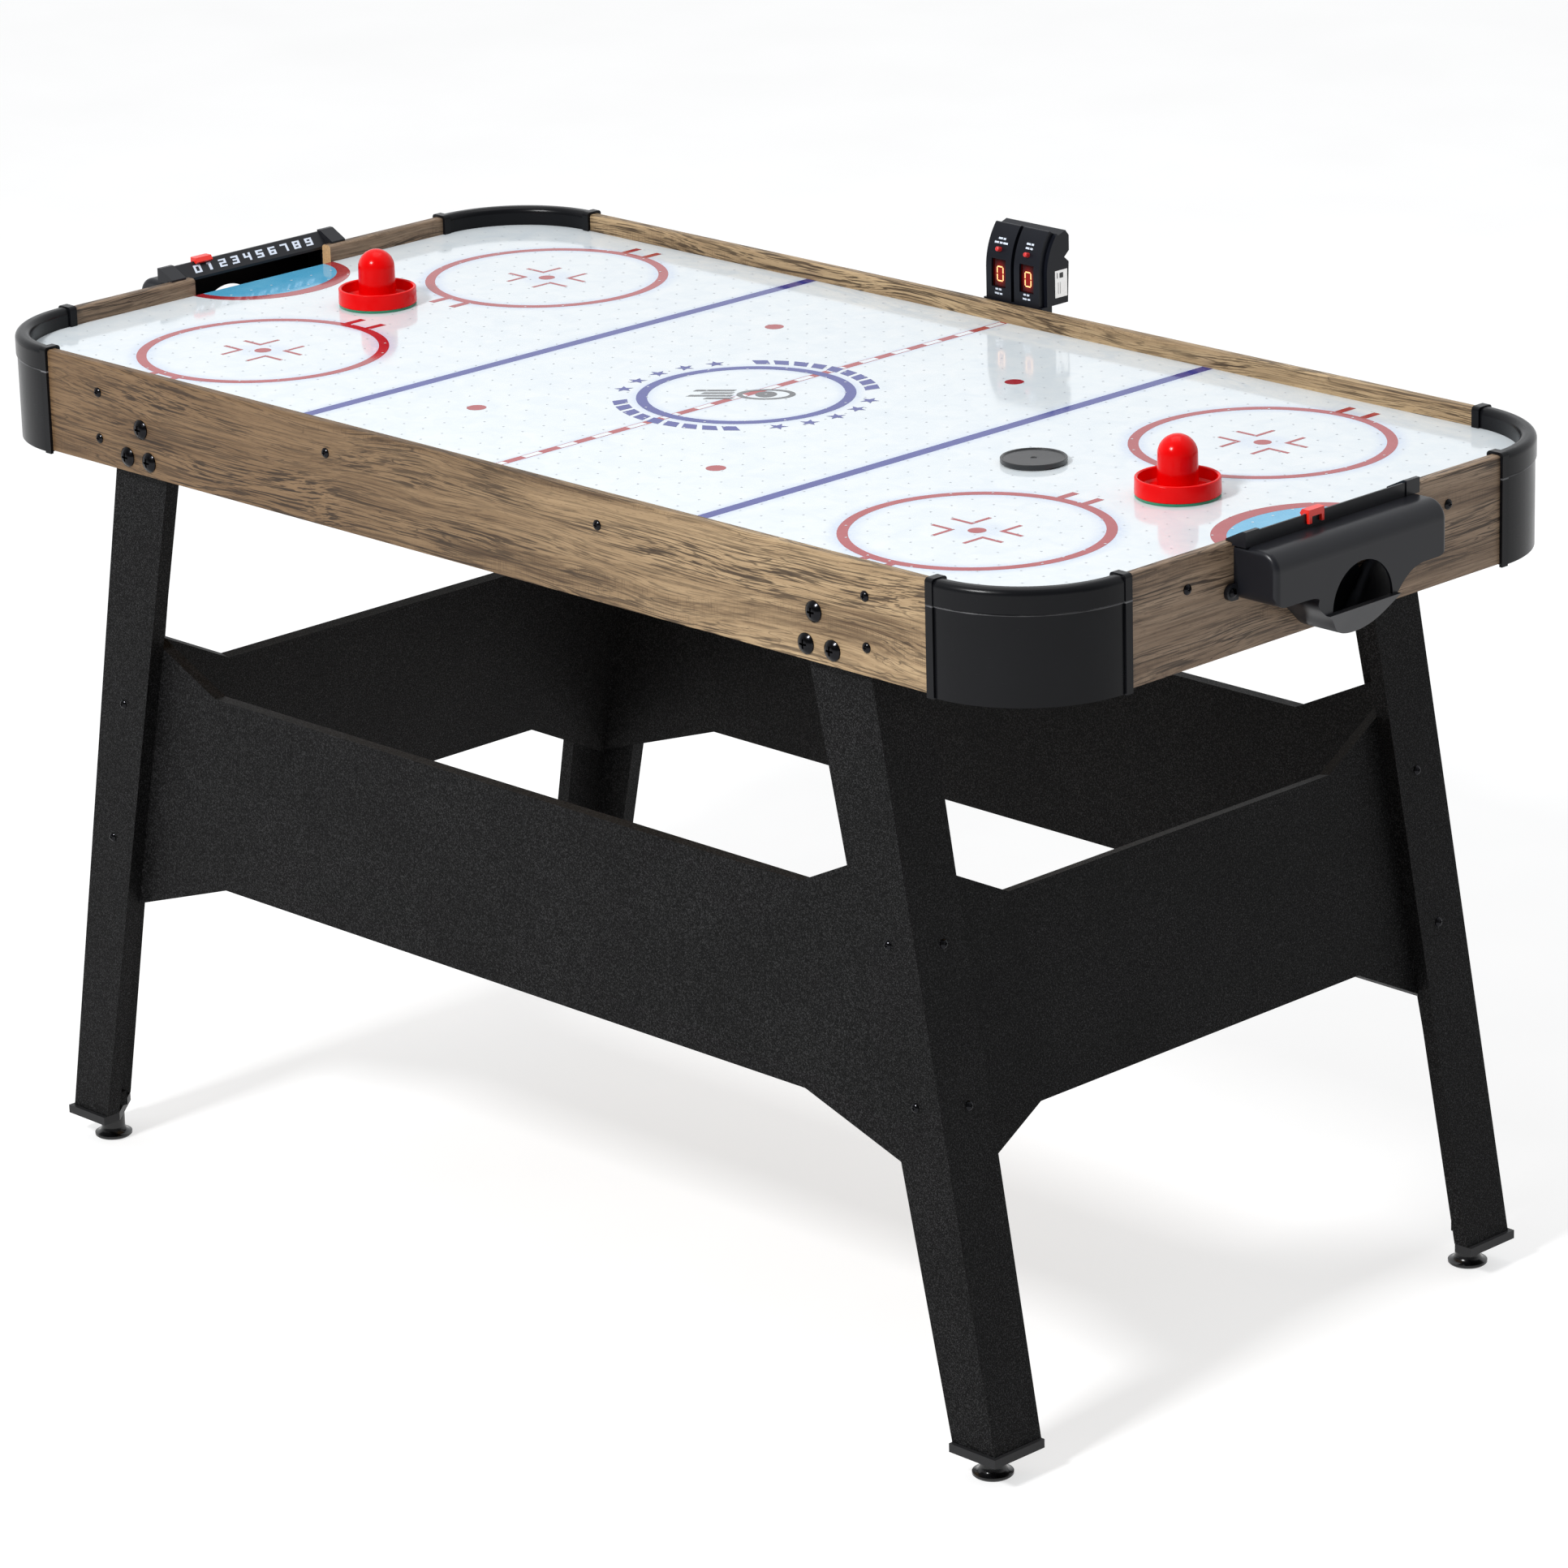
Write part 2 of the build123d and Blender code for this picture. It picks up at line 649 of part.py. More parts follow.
def goal_side(inset):
    """The goal box seen from the table's long side, as a face on the box's back (+Y) side."""
    front = half_length + goal_box_depth
    with BuildSketch(Plane.XZ.offset(-goal_box_half - 1)) as outline:
        with BuildLine():
            Polyline((front, goal_top - goal_round), (front, scoop_lip), (front + scoop_proud, scoop_lip),
                     (front - 12, scoop_bottom - 4), (half_length, scoop_bottom - 4),
                     (half_length, goal_top), (front - goal_round, goal_top))
            RadiusArc((front - goal_round, goal_top), (front, goal_top - goal_round), goal_round)
        make_face()
        if inset > 0:
            offset(amount=-inset, mode=Mode.REPLACE)
    return outline.sketch


def goal_block(inset):
    """The solid shape of the goal box, drawn in by an inset for its hollow."""
    with BuildPart() as block:
        extrude(goal_front(inset), amount=half_length + goal_box_depth + 2 * scoop_proud)
        extrude(goal_side(inset), amount=2 * goal_box_half + 2, mode=Mode.INTERSECT)
        ends = block.faces().filter_by(Axis.Y).sort_by(Axis.Y)
        end_edges = ends[0].edges() + ends[-1].edges()
        fillet(end_edges.filter_by(lambda e: e.center().X > half_length + 8 and e.center().Z > goal_low + 1),
               goal_end_round - inset)
        rounded = goal_front(inset, goal_low_round - inset)
        extrude(rounded, amount=half_length + goal_box_depth + 2 * scoop_proud, mode=Mode.INTERSECT)
    return block.part


# The round wall behind the puck tray.
with BuildPart() as tray_wall:
    with BuildSketch(Plane.YZ.offset(half_length)):
        with Locations((8, 716)):
            Circle(tray_back_radius)
    extrude(amount=plastic_wall)
    add(goal_block(0), mode=Mode.INTERSECT)

with BuildPart() as goal_housing:
    add(goal_block(0))
    add(goal_block(plastic_wall), mode=Mode.SUBTRACT)
    # The back is open to the rail, except for the tray wall.
    back = goal_front(plastic_wall, goal_low_round - plastic_wall).moved(Location((half_length - 1, 0, 0)))
    extrude(back, amount=plastic_wall + 2, mode=Mode.SUBTRACT)
    add(tray_wall.part)
    # The half-round hand hole over the scoop.
    with BuildSketch(Plane.YZ.offset(half_length + goal_box_depth / 2)):
        with BuildLine():
            Line((-hand_hole_radius, scoop_lip), (hand_hole_radius, scoop_lip))
            ThreePointArc((hand_hole_radius, scoop_lip), (0, scoop_lip + hand_hole_radius),
                          (-hand_hole_radius, scoop_lip))
        make_face()
    extrude(amount=goal_box_depth, mode=Mode.SUBTRACT)
    # Screw lugs on both sides.
    with BuildSketch(Plane.YZ.offset(half_length)):
        for side in (-1, 1):
            with Locations((side * lug_y, lug_z)):
                Circle(lug_radius)
            with Locations((side * (lug_y - 3.5), lug_z)):
                Rectangle(7, 2 * lug_radius)
            with Locations((side * lug_y, lug_z)):
                Circle(1.9, mode=Mode.SUBTRACT)
    extrude(amount=lug_thickness)

# The sloping number plate over the goal mouth, with a wedge at each end.
plate_top = rail_top + 9.5
plate_back = half_length + 14.0
plate_skin = 1.7
plate_half = 93.0
wedge_end = goal_box_half + 2.0
with BuildPart() as score_rail:
    with BuildSketch(Plane.XZ.offset(-plate_half)):
        with BuildLine():
            Polyline(
                (half_length, goal_top), (plate_back - plate_skin, plate_top), (plate_back, plate_top),
                (plate_back, goal_top), (plate_back - plate_skin, goal_top),
                (plate_back - plate_skin, plate_top - 2.2), (half_length + 2.3, goal_top), close=True,
            )
        make_face()
    extrude(amount=2 * plate_half)
    for start in (-wedge_end, plate_half):
        with BuildSketch(Plane.XZ.offset(start)):
            with BuildLine():
                Polyline(
                    (half_length - 7, rail_top), (half_length - 7, rail_top + 2), (plate_back - 3, plate_top + 1.5),
                    (plate_back + 1, plate_top + 1.5), (plate_back + 1, goal_top), (half_length, goal_top),
                    (half_length, rail_top), close=True,
                )
            make_face()
        extrude(amount=wedge_end - plate_half)

slider_half = 10.0
# Where each slider stands along its rail, seen from outside that end.
slider_rests = {"right": -23.6, "left": 57.2}
slider_gap = 0.4
with BuildPart() as score_slider:
    slider_back = plate_back + slider_gap
    slider_under = plate_top + slider_gap
    with BuildSketch(Plane.XZ.offset(-slider_half)):
        with BuildLine():
            Polyline(
                (slider_back, plate_top - 8), (slider_back + 2.7, plate_top - 8),
                (slider_back + 2.7, slider_under + 3.5), (plate_back - 4.8, slider_under + 3.5),
                (plate_back - 7.2, plate_top), (plate_back - 5.4, plate_top - 1.8),
                (plate_back - 2.2, slider_under), (slider_back, slider_under), close=True,
            )
        make_face()
    extrude(amount=2 * slider_half)
    fillet(score_slider.edges().filter_by(Axis.Z).sort_by(Axis.X)[-2:], 1.2)
    # Two legs hang behind the plate, with a gap between them.
    with BuildSketch(Plane.YZ.offset(slider_back - 1)):
        with Locations((0, plate_top - 8)):
            Rectangle(12, 12)
    extrude(amount=5, mode=Mode.SUBTRACT)

for name, turn in {"right": 0, "left": 180}.items():
    with BuildPart() as housing_copy:
        add(goal_housing.part.rotate(Axis.Z, turn))
    save(housing_copy, f"goal_housing_{name}")
    with BuildPart() as rail_copy:
        add(score_rail.part.rotate(Axis.Z, turn))
    save(rail_copy, f"score_rail_{name}")
    with BuildPart() as slider_copy:
        add(score_slider.part.moved(Location((0, slider_rests[name], 0))).rotate(Axis.Z, turn))
    save(slider_copy, f"score_slider_{name}")

# Light-gate blocks on both sides of each goal mouth.
sensor_y = goal_half_width + 9
with BuildPart() as goal_sensors:
    for end in (-1, 1):
        for side in (-1, 1):
            with Locations((end * (half_length + 3), side * sensor_y, 783)):
                Box(6, 12, 14)
            with Locations((end * (half_length + 3), side * (sensor_y - 6.5), 785)):
                Cylinder(2, 3, rotation=(90, 0, 0))
save(goal_sensors, "goal_sensors")

# ---------------------------------------------------------------- electronic scorer
scorer_half = 38.0
scorer_base = rail_top + 0.5
scorer_front_y = half_width + 7          # front face of the scorer's body, at its foot
scorer_straight = 828.0                  # the front is upright to here, then leans back
column_proud = 7.0
column_half = 16.0
column_x = 18.0
column_skin = 2.5
column_hollow_top = 861.0
cover_skin = 2.5
shell_wall = 2.2
window_low = 809.5
window_high = 836.5
window_half = 9.0


def front_line(proud):
    """Three points of the scorer's front, moved outward: foot of the bend, its middle and its top."""
    return (
        (scorer_front_y - proud, scorer_straight),
        (scorer_front_y + 4 - 0.94 * proud, 848 + 0.35 * proud),
        (scorer_front_y + 14 - 0.83 * proud, 865 + 0.55 * proud),
    )


def front_layer(low_proud, high_proud, half, base=scorer_base):
    """A curved sheet that follows the scorer's front, between two distances from it."""
    inner, outer = front_line(low_proud), front_line(high_proud)
    with BuildPart() as layer:
        with BuildSketch(Plane.YZ.offset(-half)):
            with BuildLine():
                Line((scorer_front_y - low_proud, base), inner[0])
                ThreePointArc(*inner)
                Line(inner[2], outer[2])
                ThreePointArc(*reversed(outer))
                Line(outer[0], (scorer_front_y - high_proud, base))
                Line((scorer_front_y - high_proud, base), (scorer_front_y - low_proud, base))
            make_face()
        extrude(amount=2 * half)
    return layer.part


button_proud = 5.0
button_radius = 2.3
button_plane_y, button_plane_z = 352.74, 845.5   # on the columns' curved front
button_out = (0, -0.9585, 0.285)         # the way the buttons point


def button_plane(x, outward):
    return Plane(origin=Vector(x, button_plane_y, button_plane_z) + Vector(*button_out) * outward,
                 x_dir=(1, 0, 0), z_dir=button_out)


with BuildPart() as column_hollow:
    add(front_layer(-cover_skin - 1, column_proud - column_skin, column_half - column_skin,
                    scorer_base + column_skin))
    split(bisect_by=Plane.XY.offset(column_hollow_top), keep=Keep.BOTTOM)

with BuildPart() as scorer_cover:
    add(front_layer(-cover_skin, 0, scorer_half))
    for side in (-1, 1):
        add(front_layer(0, column_proud, column_half).moved(Location((side * column_x, 0, 0))))
    top_edges = scorer_cover.edges().filter_by(Axis.X).sort_by(Axis.Z)[-2:]
    fillet(top_edges, 2)
    for side in (-1, 1):
        add(column_hollow.part.moved(Location((side * column_x, 0, 0))), mode=Mode.SUBTRACT)
        with Locations((side * column_x, half_width, (window_low + window_high) / 2)):
            Box(2 * window_half, 12, window_high - window_low, mode=Mode.SUBTRACT)
        with BuildSketch(button_plane(side * column_x, 3)):
            Circle(button_radius + running_gap)
        extrude(amount=-9, mode=Mode.SUBTRACT)
save(scorer_cover, "scorer_cover")

with BuildPart() as scorer_windows:
    for side in (-1, 1):
        add(front_layer(column_proud - column_skin - 1.6, column_proud - column_skin,
                        window_half + 1.5).moved(Location((side * column_x, 0, 0))))
    with BuildSketch(Plane.XY.offset(window_low - 1)):
        with Locations((0, half_width)):
            Rectangle(2 * scorer_half, 40)
    extrude(amount=window_high - window_low + 2, mode=Mode.INTERSECT)
save(scorer_windows, "scorer_windows")

bend_foot, bend_middle, bend_top = front_line(-cover_skin)
with BuildPart() as scorer_shell:
    with BuildSketch(Plane.YZ.offset(-scorer_half)) as shell_profile:
        with BuildLine():
            Line((bend_foot[0], scorer_base), bend_foot)
            ThreePointArc(bend_foot, bend_middle, bend_top)
            Polyline(bend_top, (383, 867), (387.5, 861.5), (387.5, 847), (381, 841.5), (387, 836.3),
                     (385.5, scorer_base), (bend_foot[0], scorer_base))
        make_face()
    extrude(amount=2 * scorer_half)
    with BuildSketch(Plane.YZ.offset(-scorer_half + shell_wall)):
        with BuildLine():
            Polyline((bend_foot[0] - 3, scorer_base + shell_wall), (bend_foot[0] - 3, 832), (365, 861),
                     (373, 864), (382, 864.5), (385.2, 860.5), (385.2, 848), (378.5, 841.5),
                     (384.6, 836), (383.2, scorer_base + shell_wall), close=True)
        make_face()
    extrude(amount=2 * (scorer_half - shell_wall), mode=Mode.SUBTRACT)
save(scorer_shell, "scorer_shell")

board_y = 368.0
switch_z = 840.0
figure_z = 822.0
with BuildPart() as scorer_board:
    with Locations((0, board_y, 822)):
        Box(64, 1.6, 42)
    with Locations((-column_x, board_y - 2.4, switch_z), (column_x, board_y - 2.4, switch_z)):
        Box(6, 6, 6)
save(scorer_board, "scorer_board")

with BuildPart() as scorer_digits:
    with Locations((-column_x, 361.5, figure_z), (column_x, 361.5, figure_z)):
        Box(13, 11.2, 19.5)
save(scorer_digits, "scorer_digit_blocks")

for name, side in {"scorer_button_left": -1, "scorer_button_right": 1}.items():
    with BuildPart() as scorer_button:
        with BuildSketch(button_plane(side * column_x, button_proud)):
            Circle(button_radius)
        extrude(amount=-button_proud - column_skin - 3)
        fillet(scorer_button.edges().sort_by(Axis.Y)[0], 1.2)
        with BuildSketch(button_plane(side * column_x, -column_skin - running_gap)):
            Circle(button_radius + 1.2)
        extrude(amount=-1)
    save(scorer_button, name)

stem_back = half_width + 14.0
stem_low = 745.0
flange_low = 722.0
scorer_screw_x = 22.0
scorer_screw_z = 733.0
with BuildPart() as scorer_stem:
    with BuildSketch(Plane.XY.offset(stem_low)):
        with Locations((0, (half_width + stem_back) / 2)):
            Rectangle(2 * (scorer_half - 0.5), stem_back - half_width)
            Rectangle(2 * (scorer_half - 3), stem_back - half_width - 5, mode=Mode.SUBTRACT)
    extrude(amount=scorer_base - stem_low)
    with BuildSketch(Plane.XZ.offset(-half_width)):
        with Locations((0, (flange_low + stem_low) / 2)):
            Rectangle(2 * (scorer_half - 6), stem_low - flange_low + 1)
        with Locations((-scorer_screw_x, scorer_screw_z), (scorer_screw_x, scorer_screw_z)):
            Circle(1.9, mode=Mode.SUBTRACT)
    extrude(amount=-3)
save(scorer_stem, "scorer_stem")

with BuildPart() as panel_screws:
    for end in (-1, 1):
        for side in (-1, 1):
            with Locations(facing(end * (half_length + lug_thickness), side * lug_y, lug_z, (end, 0, 0))):
                add(short_screw)
    for side in (-1, 1):
        with Locations(facing(side * scorer_screw_x, half_width + 3, scorer_screw_z, (0, 1, 0))):
            add(short_screw)
    for side_x in (-1, 1):
        for side_y in (-1, 1):
            x, y = side_x * housing_screw_pitch / 2, side_y * housing_screw_pitch / 2
            with Locations(facing(x, y, skin_bottom - plastic_wall, (0, 0, -1))):
                add(short_screw)
save(panel_screws, "panel_screws")

# ---------------------------------------------------------------- loose pieces on the playfield
felt_thickness = 2.0
rim_height = 16.0
rim_wall = 3.2
knob_radius = 17.5
knob_height = 52.0
knob_wall = 2.6
striker_floor = 3.0
striker_base = field_top + air_gap + felt_thickness

with BuildPart() as striker:
    with BuildSketch(Plane.XZ):
        with BuildLine():
            dome_z = knob_height - knob_radius
            hollow_radius = knob_radius - knob_wall
            Polyline((hollow_radius, dome_z), (hollow_radius, 0), (striker_radius - 0.8, 0),
                     (striker_radius, 0.8), (striker_radius - 0.3, rim_height - 1.6))
            RadiusArc((striker_radius - 0.3, rim_height - 1.6),
                      (striker_radius - rim_wall, rim_height - 1.6), -rim_wall / 2)
            Polyline((striker_radius - rim_wall, rim_height - 1.6),
                     (striker_radius - rim_wall - 0.6, striker_floor + 2),
                     (striker_radius - rim_wall - 2.6, striker_floor),
                     (knob_radius + 2.4, striker_floor), (knob_radius + 0.4, striker_floor + 2),
                     (knob_radius, dome_z))
            RadiusArc((knob_radius, dome_z), (0, knob_height), -knob_radius)
            Line((0, knob_height), (0, knob_height - knob_wall))
            RadiusArc((0, knob_height - knob_wall), (hollow_radius, dome_z), hollow_radius)
        make_face()
    revolve(axis=Axis.Z)

for name, (x, y) in striker_places.items():
    with BuildPart() as striker_copy:
        add(striker.part.moved(Location((x, y, striker_base))))
    save(striker_copy, f"striker_{name}")
    with BuildPart() as striker_felt:
        with BuildSketch(Plane.XY.offset(field_top + air_gap)):
            with Locations((x, y)):
                Circle(striker_radius - 0.5)
        extrude(amount=felt_thickness)
    save(striker_felt, f"striker_felt_{name}")

puck_height = 5.0
with BuildPart() as puck:
    with BuildSketch(Plane(origin=(*puck_place, field_top + air_gap), x_dir=(1, 0, 0), z_dir=(0, -1, 0))):
        with BuildLine():
            Polyline((0, 0), (puck_radius - 1, 0), (puck_radius, 1), (puck_radius, puck_height - 0.6),
                     (puck_radius - 0.6, puck_height), (puck_radius - 2.2, puck_height),
                     (puck_radius - 3, puck_height - 1), (3.2, puck_height - 1), (2.4, puck_height - 1.8),
                     (0, puck_height - 1.8), close=True)
        make_face()
    revolve(axis=Axis((*puck_place, 0), (0, 0, 1)))
save(puck, "puck")
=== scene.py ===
from math import cos, pi, radians, sin

import bmesh
import bpy
from mathutils import Matrix, Vector
from mathutils.bvhtree import BVHTree


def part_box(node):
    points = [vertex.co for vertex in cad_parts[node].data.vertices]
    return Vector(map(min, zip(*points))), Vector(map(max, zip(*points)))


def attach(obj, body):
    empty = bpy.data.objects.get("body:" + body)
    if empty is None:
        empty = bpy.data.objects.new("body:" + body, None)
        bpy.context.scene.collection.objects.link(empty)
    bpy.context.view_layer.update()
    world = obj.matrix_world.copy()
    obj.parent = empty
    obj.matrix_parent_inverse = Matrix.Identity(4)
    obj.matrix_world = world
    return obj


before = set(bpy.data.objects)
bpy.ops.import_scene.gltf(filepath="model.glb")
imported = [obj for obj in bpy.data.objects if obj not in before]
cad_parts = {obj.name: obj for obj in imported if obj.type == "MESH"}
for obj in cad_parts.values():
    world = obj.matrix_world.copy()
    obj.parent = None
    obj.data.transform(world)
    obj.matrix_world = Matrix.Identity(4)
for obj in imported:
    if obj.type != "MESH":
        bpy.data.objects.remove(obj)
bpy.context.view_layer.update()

# Lengths are in metres, in the CAD model's frame: X along the table, Y across it, Z up.
MM = 0.001
field_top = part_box("playfield")[1].z
field_half_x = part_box("playfield")[1].x
field_half_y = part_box("playfield")[1].y


# ---------------------------------------------------------------- node helpers
def add_node(tree, kind, sockets=None, **settings):
    """A node with its settings, and its inputs linked or set."""
    n = tree.nodes.new(kind)
    for key, value in settings.items():
        setattr(n, key, value)
    for key, value in (sockets or {}).items():
        if isinstance(value, bpy.types.NodeSocket):
            tree.links.new(value, n.inputs[key])
        else:
            n.inputs[key].default_value = value
    return n


class Look:
    """A material under construction: short calls for the few kinds of node used here."""

    def __init__(self, name, color, roughness, **sockets):
        self.material = bpy.data.materials.new(name)
        self.material.use_nodes = True
        self.tree = self.material.node_tree
        self.shader = self.tree.nodes["Principled BSDF"]
        self.place = add_node(self.tree, "ShaderNodeTexCoord").outputs["Object"]
        self.set("Base Color", color)
        self.set("Roughness", roughness)
        for key, value in sockets.items():
            self.set(key.replace("_", " "), value)

    def set(self, socket, value):
        if isinstance(value, bpy.types.NodeSocket):
            self.tree.links.new(value, self.shader.inputs[socket])
        elif isinstance(value, tuple):
            self.shader.inputs[socket].default_value = (*value, 1.0)
        else:
            self.shader.inputs[socket].default_value = value

    def scaled(self, scale, coords=None):
        """The coordinates, stretched by a factor on each axis."""
        sockets = {"Vector": coords or self.place, "Scale": scale}
        return add_node(self.tree, "ShaderNodeMapping", sockets).outputs[0]

    def noise(self, scale, detail=3.0, roughness=0.55, distortion=0.0, coords=None):
        if isinstance(scale, (int, float)):
            scale = (scale, scale, scale)
        n = add_node(self.tree, "ShaderNodeTexNoise", {
            "Vector": self.scaled(scale, coords), "Scale": 1.0, "Detail": detail,
            "Roughness": roughness, "Distortion": distortion})
        return n.outputs["Fac"]

    def math(self, operation, a, b=0.0, clamp=False):
        settings = {"operation": operation, "use_clamp": clamp}
        return add_node(self.tree, "ShaderNodeMath", {0: a, 1: b}, **settings).outputs[0]

    def remap(self, value, low, high, to_low=0.0, to_high=1.0, smooth=True):
        return add_node(self.tree, "ShaderNodeMapRange", {
            "Value": value, "From Min": low, "From Max": high, "To Min": to_low, "To Max": to_high,
        }, interpolation_type="SMOOTHSTEP" if smooth else "LINEAR").outputs[0]

    def ramp(self, value, stops):
        n = add_node(self.tree, "ShaderNodeValToRGB", {0: value})
        elements = n.color_ramp.elements
        while len(elements) < len(stops):
            elements.new(0.5)
        for element, (at, color) in zip(elements, stops):
            element.position = at
            element.color = (*color, 1.0)
        return n.outputs[0]

    def mix(self, share, a, b, blend="MIX"):
        n = add_node(self.tree, "ShaderNodeMix", {0: share}, data_type="RGBA", blend_type=blend)
        for index, value in ((6, a), (7, b)):
            if isinstance(value, bpy.types.NodeSocket):
                self.tree.links.new(value, n.inputs[index])
            else:
                n.inputs[index].default_value = (*value, 1.0)
        return n.outputs[2]

    def axes(self, coords=None):
        """The three coordinates, one by one."""
        n = add_node(self.tree, "ShaderNodeSeparateXYZ", {0: coords or self.place})
        return n.outputs[0], n.outputs[1], n.outputs[2]

    def tinted(self, factor, color):
        """A colour made lighter or darker by a factor."""
        grey = add_node(self.tree, "ShaderNodeCombineColor", {0: factor, 1: factor, 2: factor}).outputs[0]
        return self.mix(1.0, color, grey, "MULTIPLY")

    def product(self, *values):
        """Values multiplied together, in order."""
        result = values[0]
        for value in values[1:]:
            result = self.math("MULTIPLY", result, value)
        return result

    def bump(self, height, depth, strength=1.0):
        """Surface relief: depth is the relief's height in metres."""
        before = self.shader.inputs["Normal"]
        sockets = {"Height": height, "Distance": depth, "Strength": strength}
        if before.is_linked:
            sockets["Normal"] = before.links[0].from_socket
        self.set("Normal", add_node(self.tree, "ShaderNodeBump", sockets).outputs[0])


# ---------------------------------------------------------------- materials
looks = {}


def oak(name, along, dark, middle, light):
    """Oak-print laminate. along is the grain's axis, 0 for X and 1 for Y."""
    look = Look(name, middle, 0.5, Specular_IOR_Level=0.3)

    def grain(length_scale, cross_scale):
        scale = [cross_scale] * 3
        scale[along] = length_scale
        return tuple(scale)

    # The grain wanders a little, so the coordinates across it are shifted by slow noise.
    wander = look.noise(grain(2.6, 9.0), 2.0)
    shift = add_node(look.tree, "ShaderNodeCombineXYZ", {
        "X": 0.0 if along == 0 else look.math("MULTIPLY", wander, 0.03),
        "Y": look.math("MULTIPLY", wander, 0.03) if along == 0 else 0.0,
        "Z": look.math("MULTIPLY", wander, 0.05)}).outputs[0]
    bent = add_node(look.tree, "ShaderNodeVectorMath", {0: look.place, 1: shift}, operation="ADD").outputs[0]

    fibres = look.noise(grain(16.0, 620.0), 4.0, 0.62, coords=bent)
    streaks = look.noise(grain(6.0, 170.0), 4.0, 0.62, 0.25, coords=bent)
    bands = look.noise(grain(1.9, 34.0), 3.0, 0.55, 0.3, coords=bent)
    clouds = look.noise(grain(5.0, 16.0), 2.0, 0.5)
    tone = look.math("ADD", look.math("MULTIPLY", fibres, 0.26), look.math("MULTIPLY", streaks, 0.50))
    tone = look.math("ADD", tone, look.math("MULTIPLY", bands, 0.52))
    tone = look.math("ADD", tone, look.math("MULTIPLY", clouds, 0.24))
    color = look.ramp(look.remap(tone, 0.58, 0.95, smooth=False), [(0.0, dark), (0.40, middle), (0.9, light)])
    # Dark streaks: dense lines along the grain, about a millimetre thick, strongest inside bands.
    gather = look.remap(look.noise(grain(3.0, 30.0), 3.0, 0.6, coords=bent), 0.36, 0.60, 0.30, 1.0)
    for length_scale, cross_scale, low, high in ((11.0, 760.0, 0.52, 0.58), (15.0, 440.0, 0.56, 0.62)):
        dash = look.noise(grain(length_scale, cross_scale), 2.0, 0.6, 0.12, coords=bent)
        dash = look.remap(dash, low, high)
        color = look.mix(look.product(dash, gather, 0.88), color, tuple(0.42 * c for c in dark))
    # Cracks: thin dark lines along the grain.
    waves = look.noise(grain(6.5, 105.0), 2.5, 0.6, 0.5, coords=bent)
    ridge = look.math("ABSOLUTE", look.math("SUBTRACT", waves, 0.5))
    thin = look.remap(ridge, 0.0, 0.018, 1.0, 0.0)
    patches = look.remap(look.noise(grain(3.2, 26.0), 2.0, coords=bent), 0.44, 0.60)
    cracks = look.math("MULTIPLY", thin, patches)
    color = look.mix(look.math("MULTIPLY", cracks, 0.70), color, tuple(0.40 * c for c in dark))
    # Short pores, and the faint cross ticks of a saw in the darker patches.
    pores = look.remap(look.noise(grain(110.0, 900.0), 1.0, 0.5), 0.58, 0.72)
    color = look.mix(look.math("MULTIPLY", pores, 0.38), color, dark)
    ticks = look.remap(look.noise(grain(900.0, 60.0), 1.0, 0.5), 0.50, 0.70)
    dark_patch = look.remap(bands, 0.52, 0.36)
    color = look.mix(look.product(ticks, dark_patch, 0.45), color, dark)
    # A lacquered print: a little duller in the dark lines.
    look.set("Roughness", look.remap(tone, 0.5, 1.0, 0.58, 0.44, smooth=False))
    look.bump(look.math("SUBTRACT", fibres, cracks), 0.00022, 0.5)
    return look, color


side_oak, color = oak("oak_laminate_side", 0, dark=(0.105, 0.063, 0.032), middle=(0.31, 0.213, 0.117),
                      light=(0.46, 0.33, 0.188))
# Painted shade: the front board is made darker and browner towards the left end of the table, where less
# light falls on it.
grain_x, grain_y = side_oak.axes()[:2]
left_end_shade = side_oak.math("MULTIPLY", side_oak.remap(grain_x, -0.35, 0.68, 1.0, 0.0),
                        side_oak.remap(grain_y, -0.1, 0.1, 1.0, 0.0))
side_oak.set("Base Color", side_oak.mix(left_end_shade, color, (0.42, 0.36, 0.32), "MULTIPLY"))
looks["oak_laminate_side"] = side_oak

end_oak, color = oak("oak_laminate_end", 1, dark=(0.070, 0.044, 0.028), middle=(0.200, 0.135, 0.087),
                     light=(0.30, 0.215, 0.145))
# The cut ends beside the goal mouth show the bare fibreboard.
normal_y = end_oak.axes(add_node(end_oak.tree, "ShaderNodeNewGeometry").outputs["Normal"])[1]
cut_face = end_oak.remap(end_oak.math("ABSOLUTE", normal_y), 0.8, 0.9)
crumbs = end_oak.noise(900.0, 3.0, 0.7)
bare = end_oak.ramp(crumbs, [(0.3, (0.42, 0.25, 0.12)), (0.7, (0.66, 0.43, 0.22))])
end_oak.set("Base Color", end_oak.mix(cut_face, color, bare))
looks["oak_laminate_end"] = end_oak


def plastic(name, color, roughness, grain_scale=2600.0, grain_depth=0.00002, wear=0.25, **sockets):
    """A moulding: a fine texture, slow changes of gloss, and faint scuffs."""
    look = Look(name, color, roughness, **sockets)
    slow = look.noise(14.0, 3.0)
    tone = look.remap(slow, 0.3, 0.7, 1.0 - wear * 0.5, 1.0 + wear * 0.5)
    look.set("Base Color", look.tinted(tone, color))
    scuffs = look.remap(look.noise((60.0, 60.0, 500.0), 4.0, 0.7), 0.62, 0.80)
    gloss = look.remap(slow, 0.3, 0.7, roughness * 0.88, roughness * 1.12)
    look.set("Roughness", look.math("ADD", gloss, look.math("MULTIPLY", scuffs, 0.08), clamp=True))
    look.bump(look.noise(grain_scale, 2.0, 0.5), grain_depth, 0.6)
    looks[name] = look
    return look


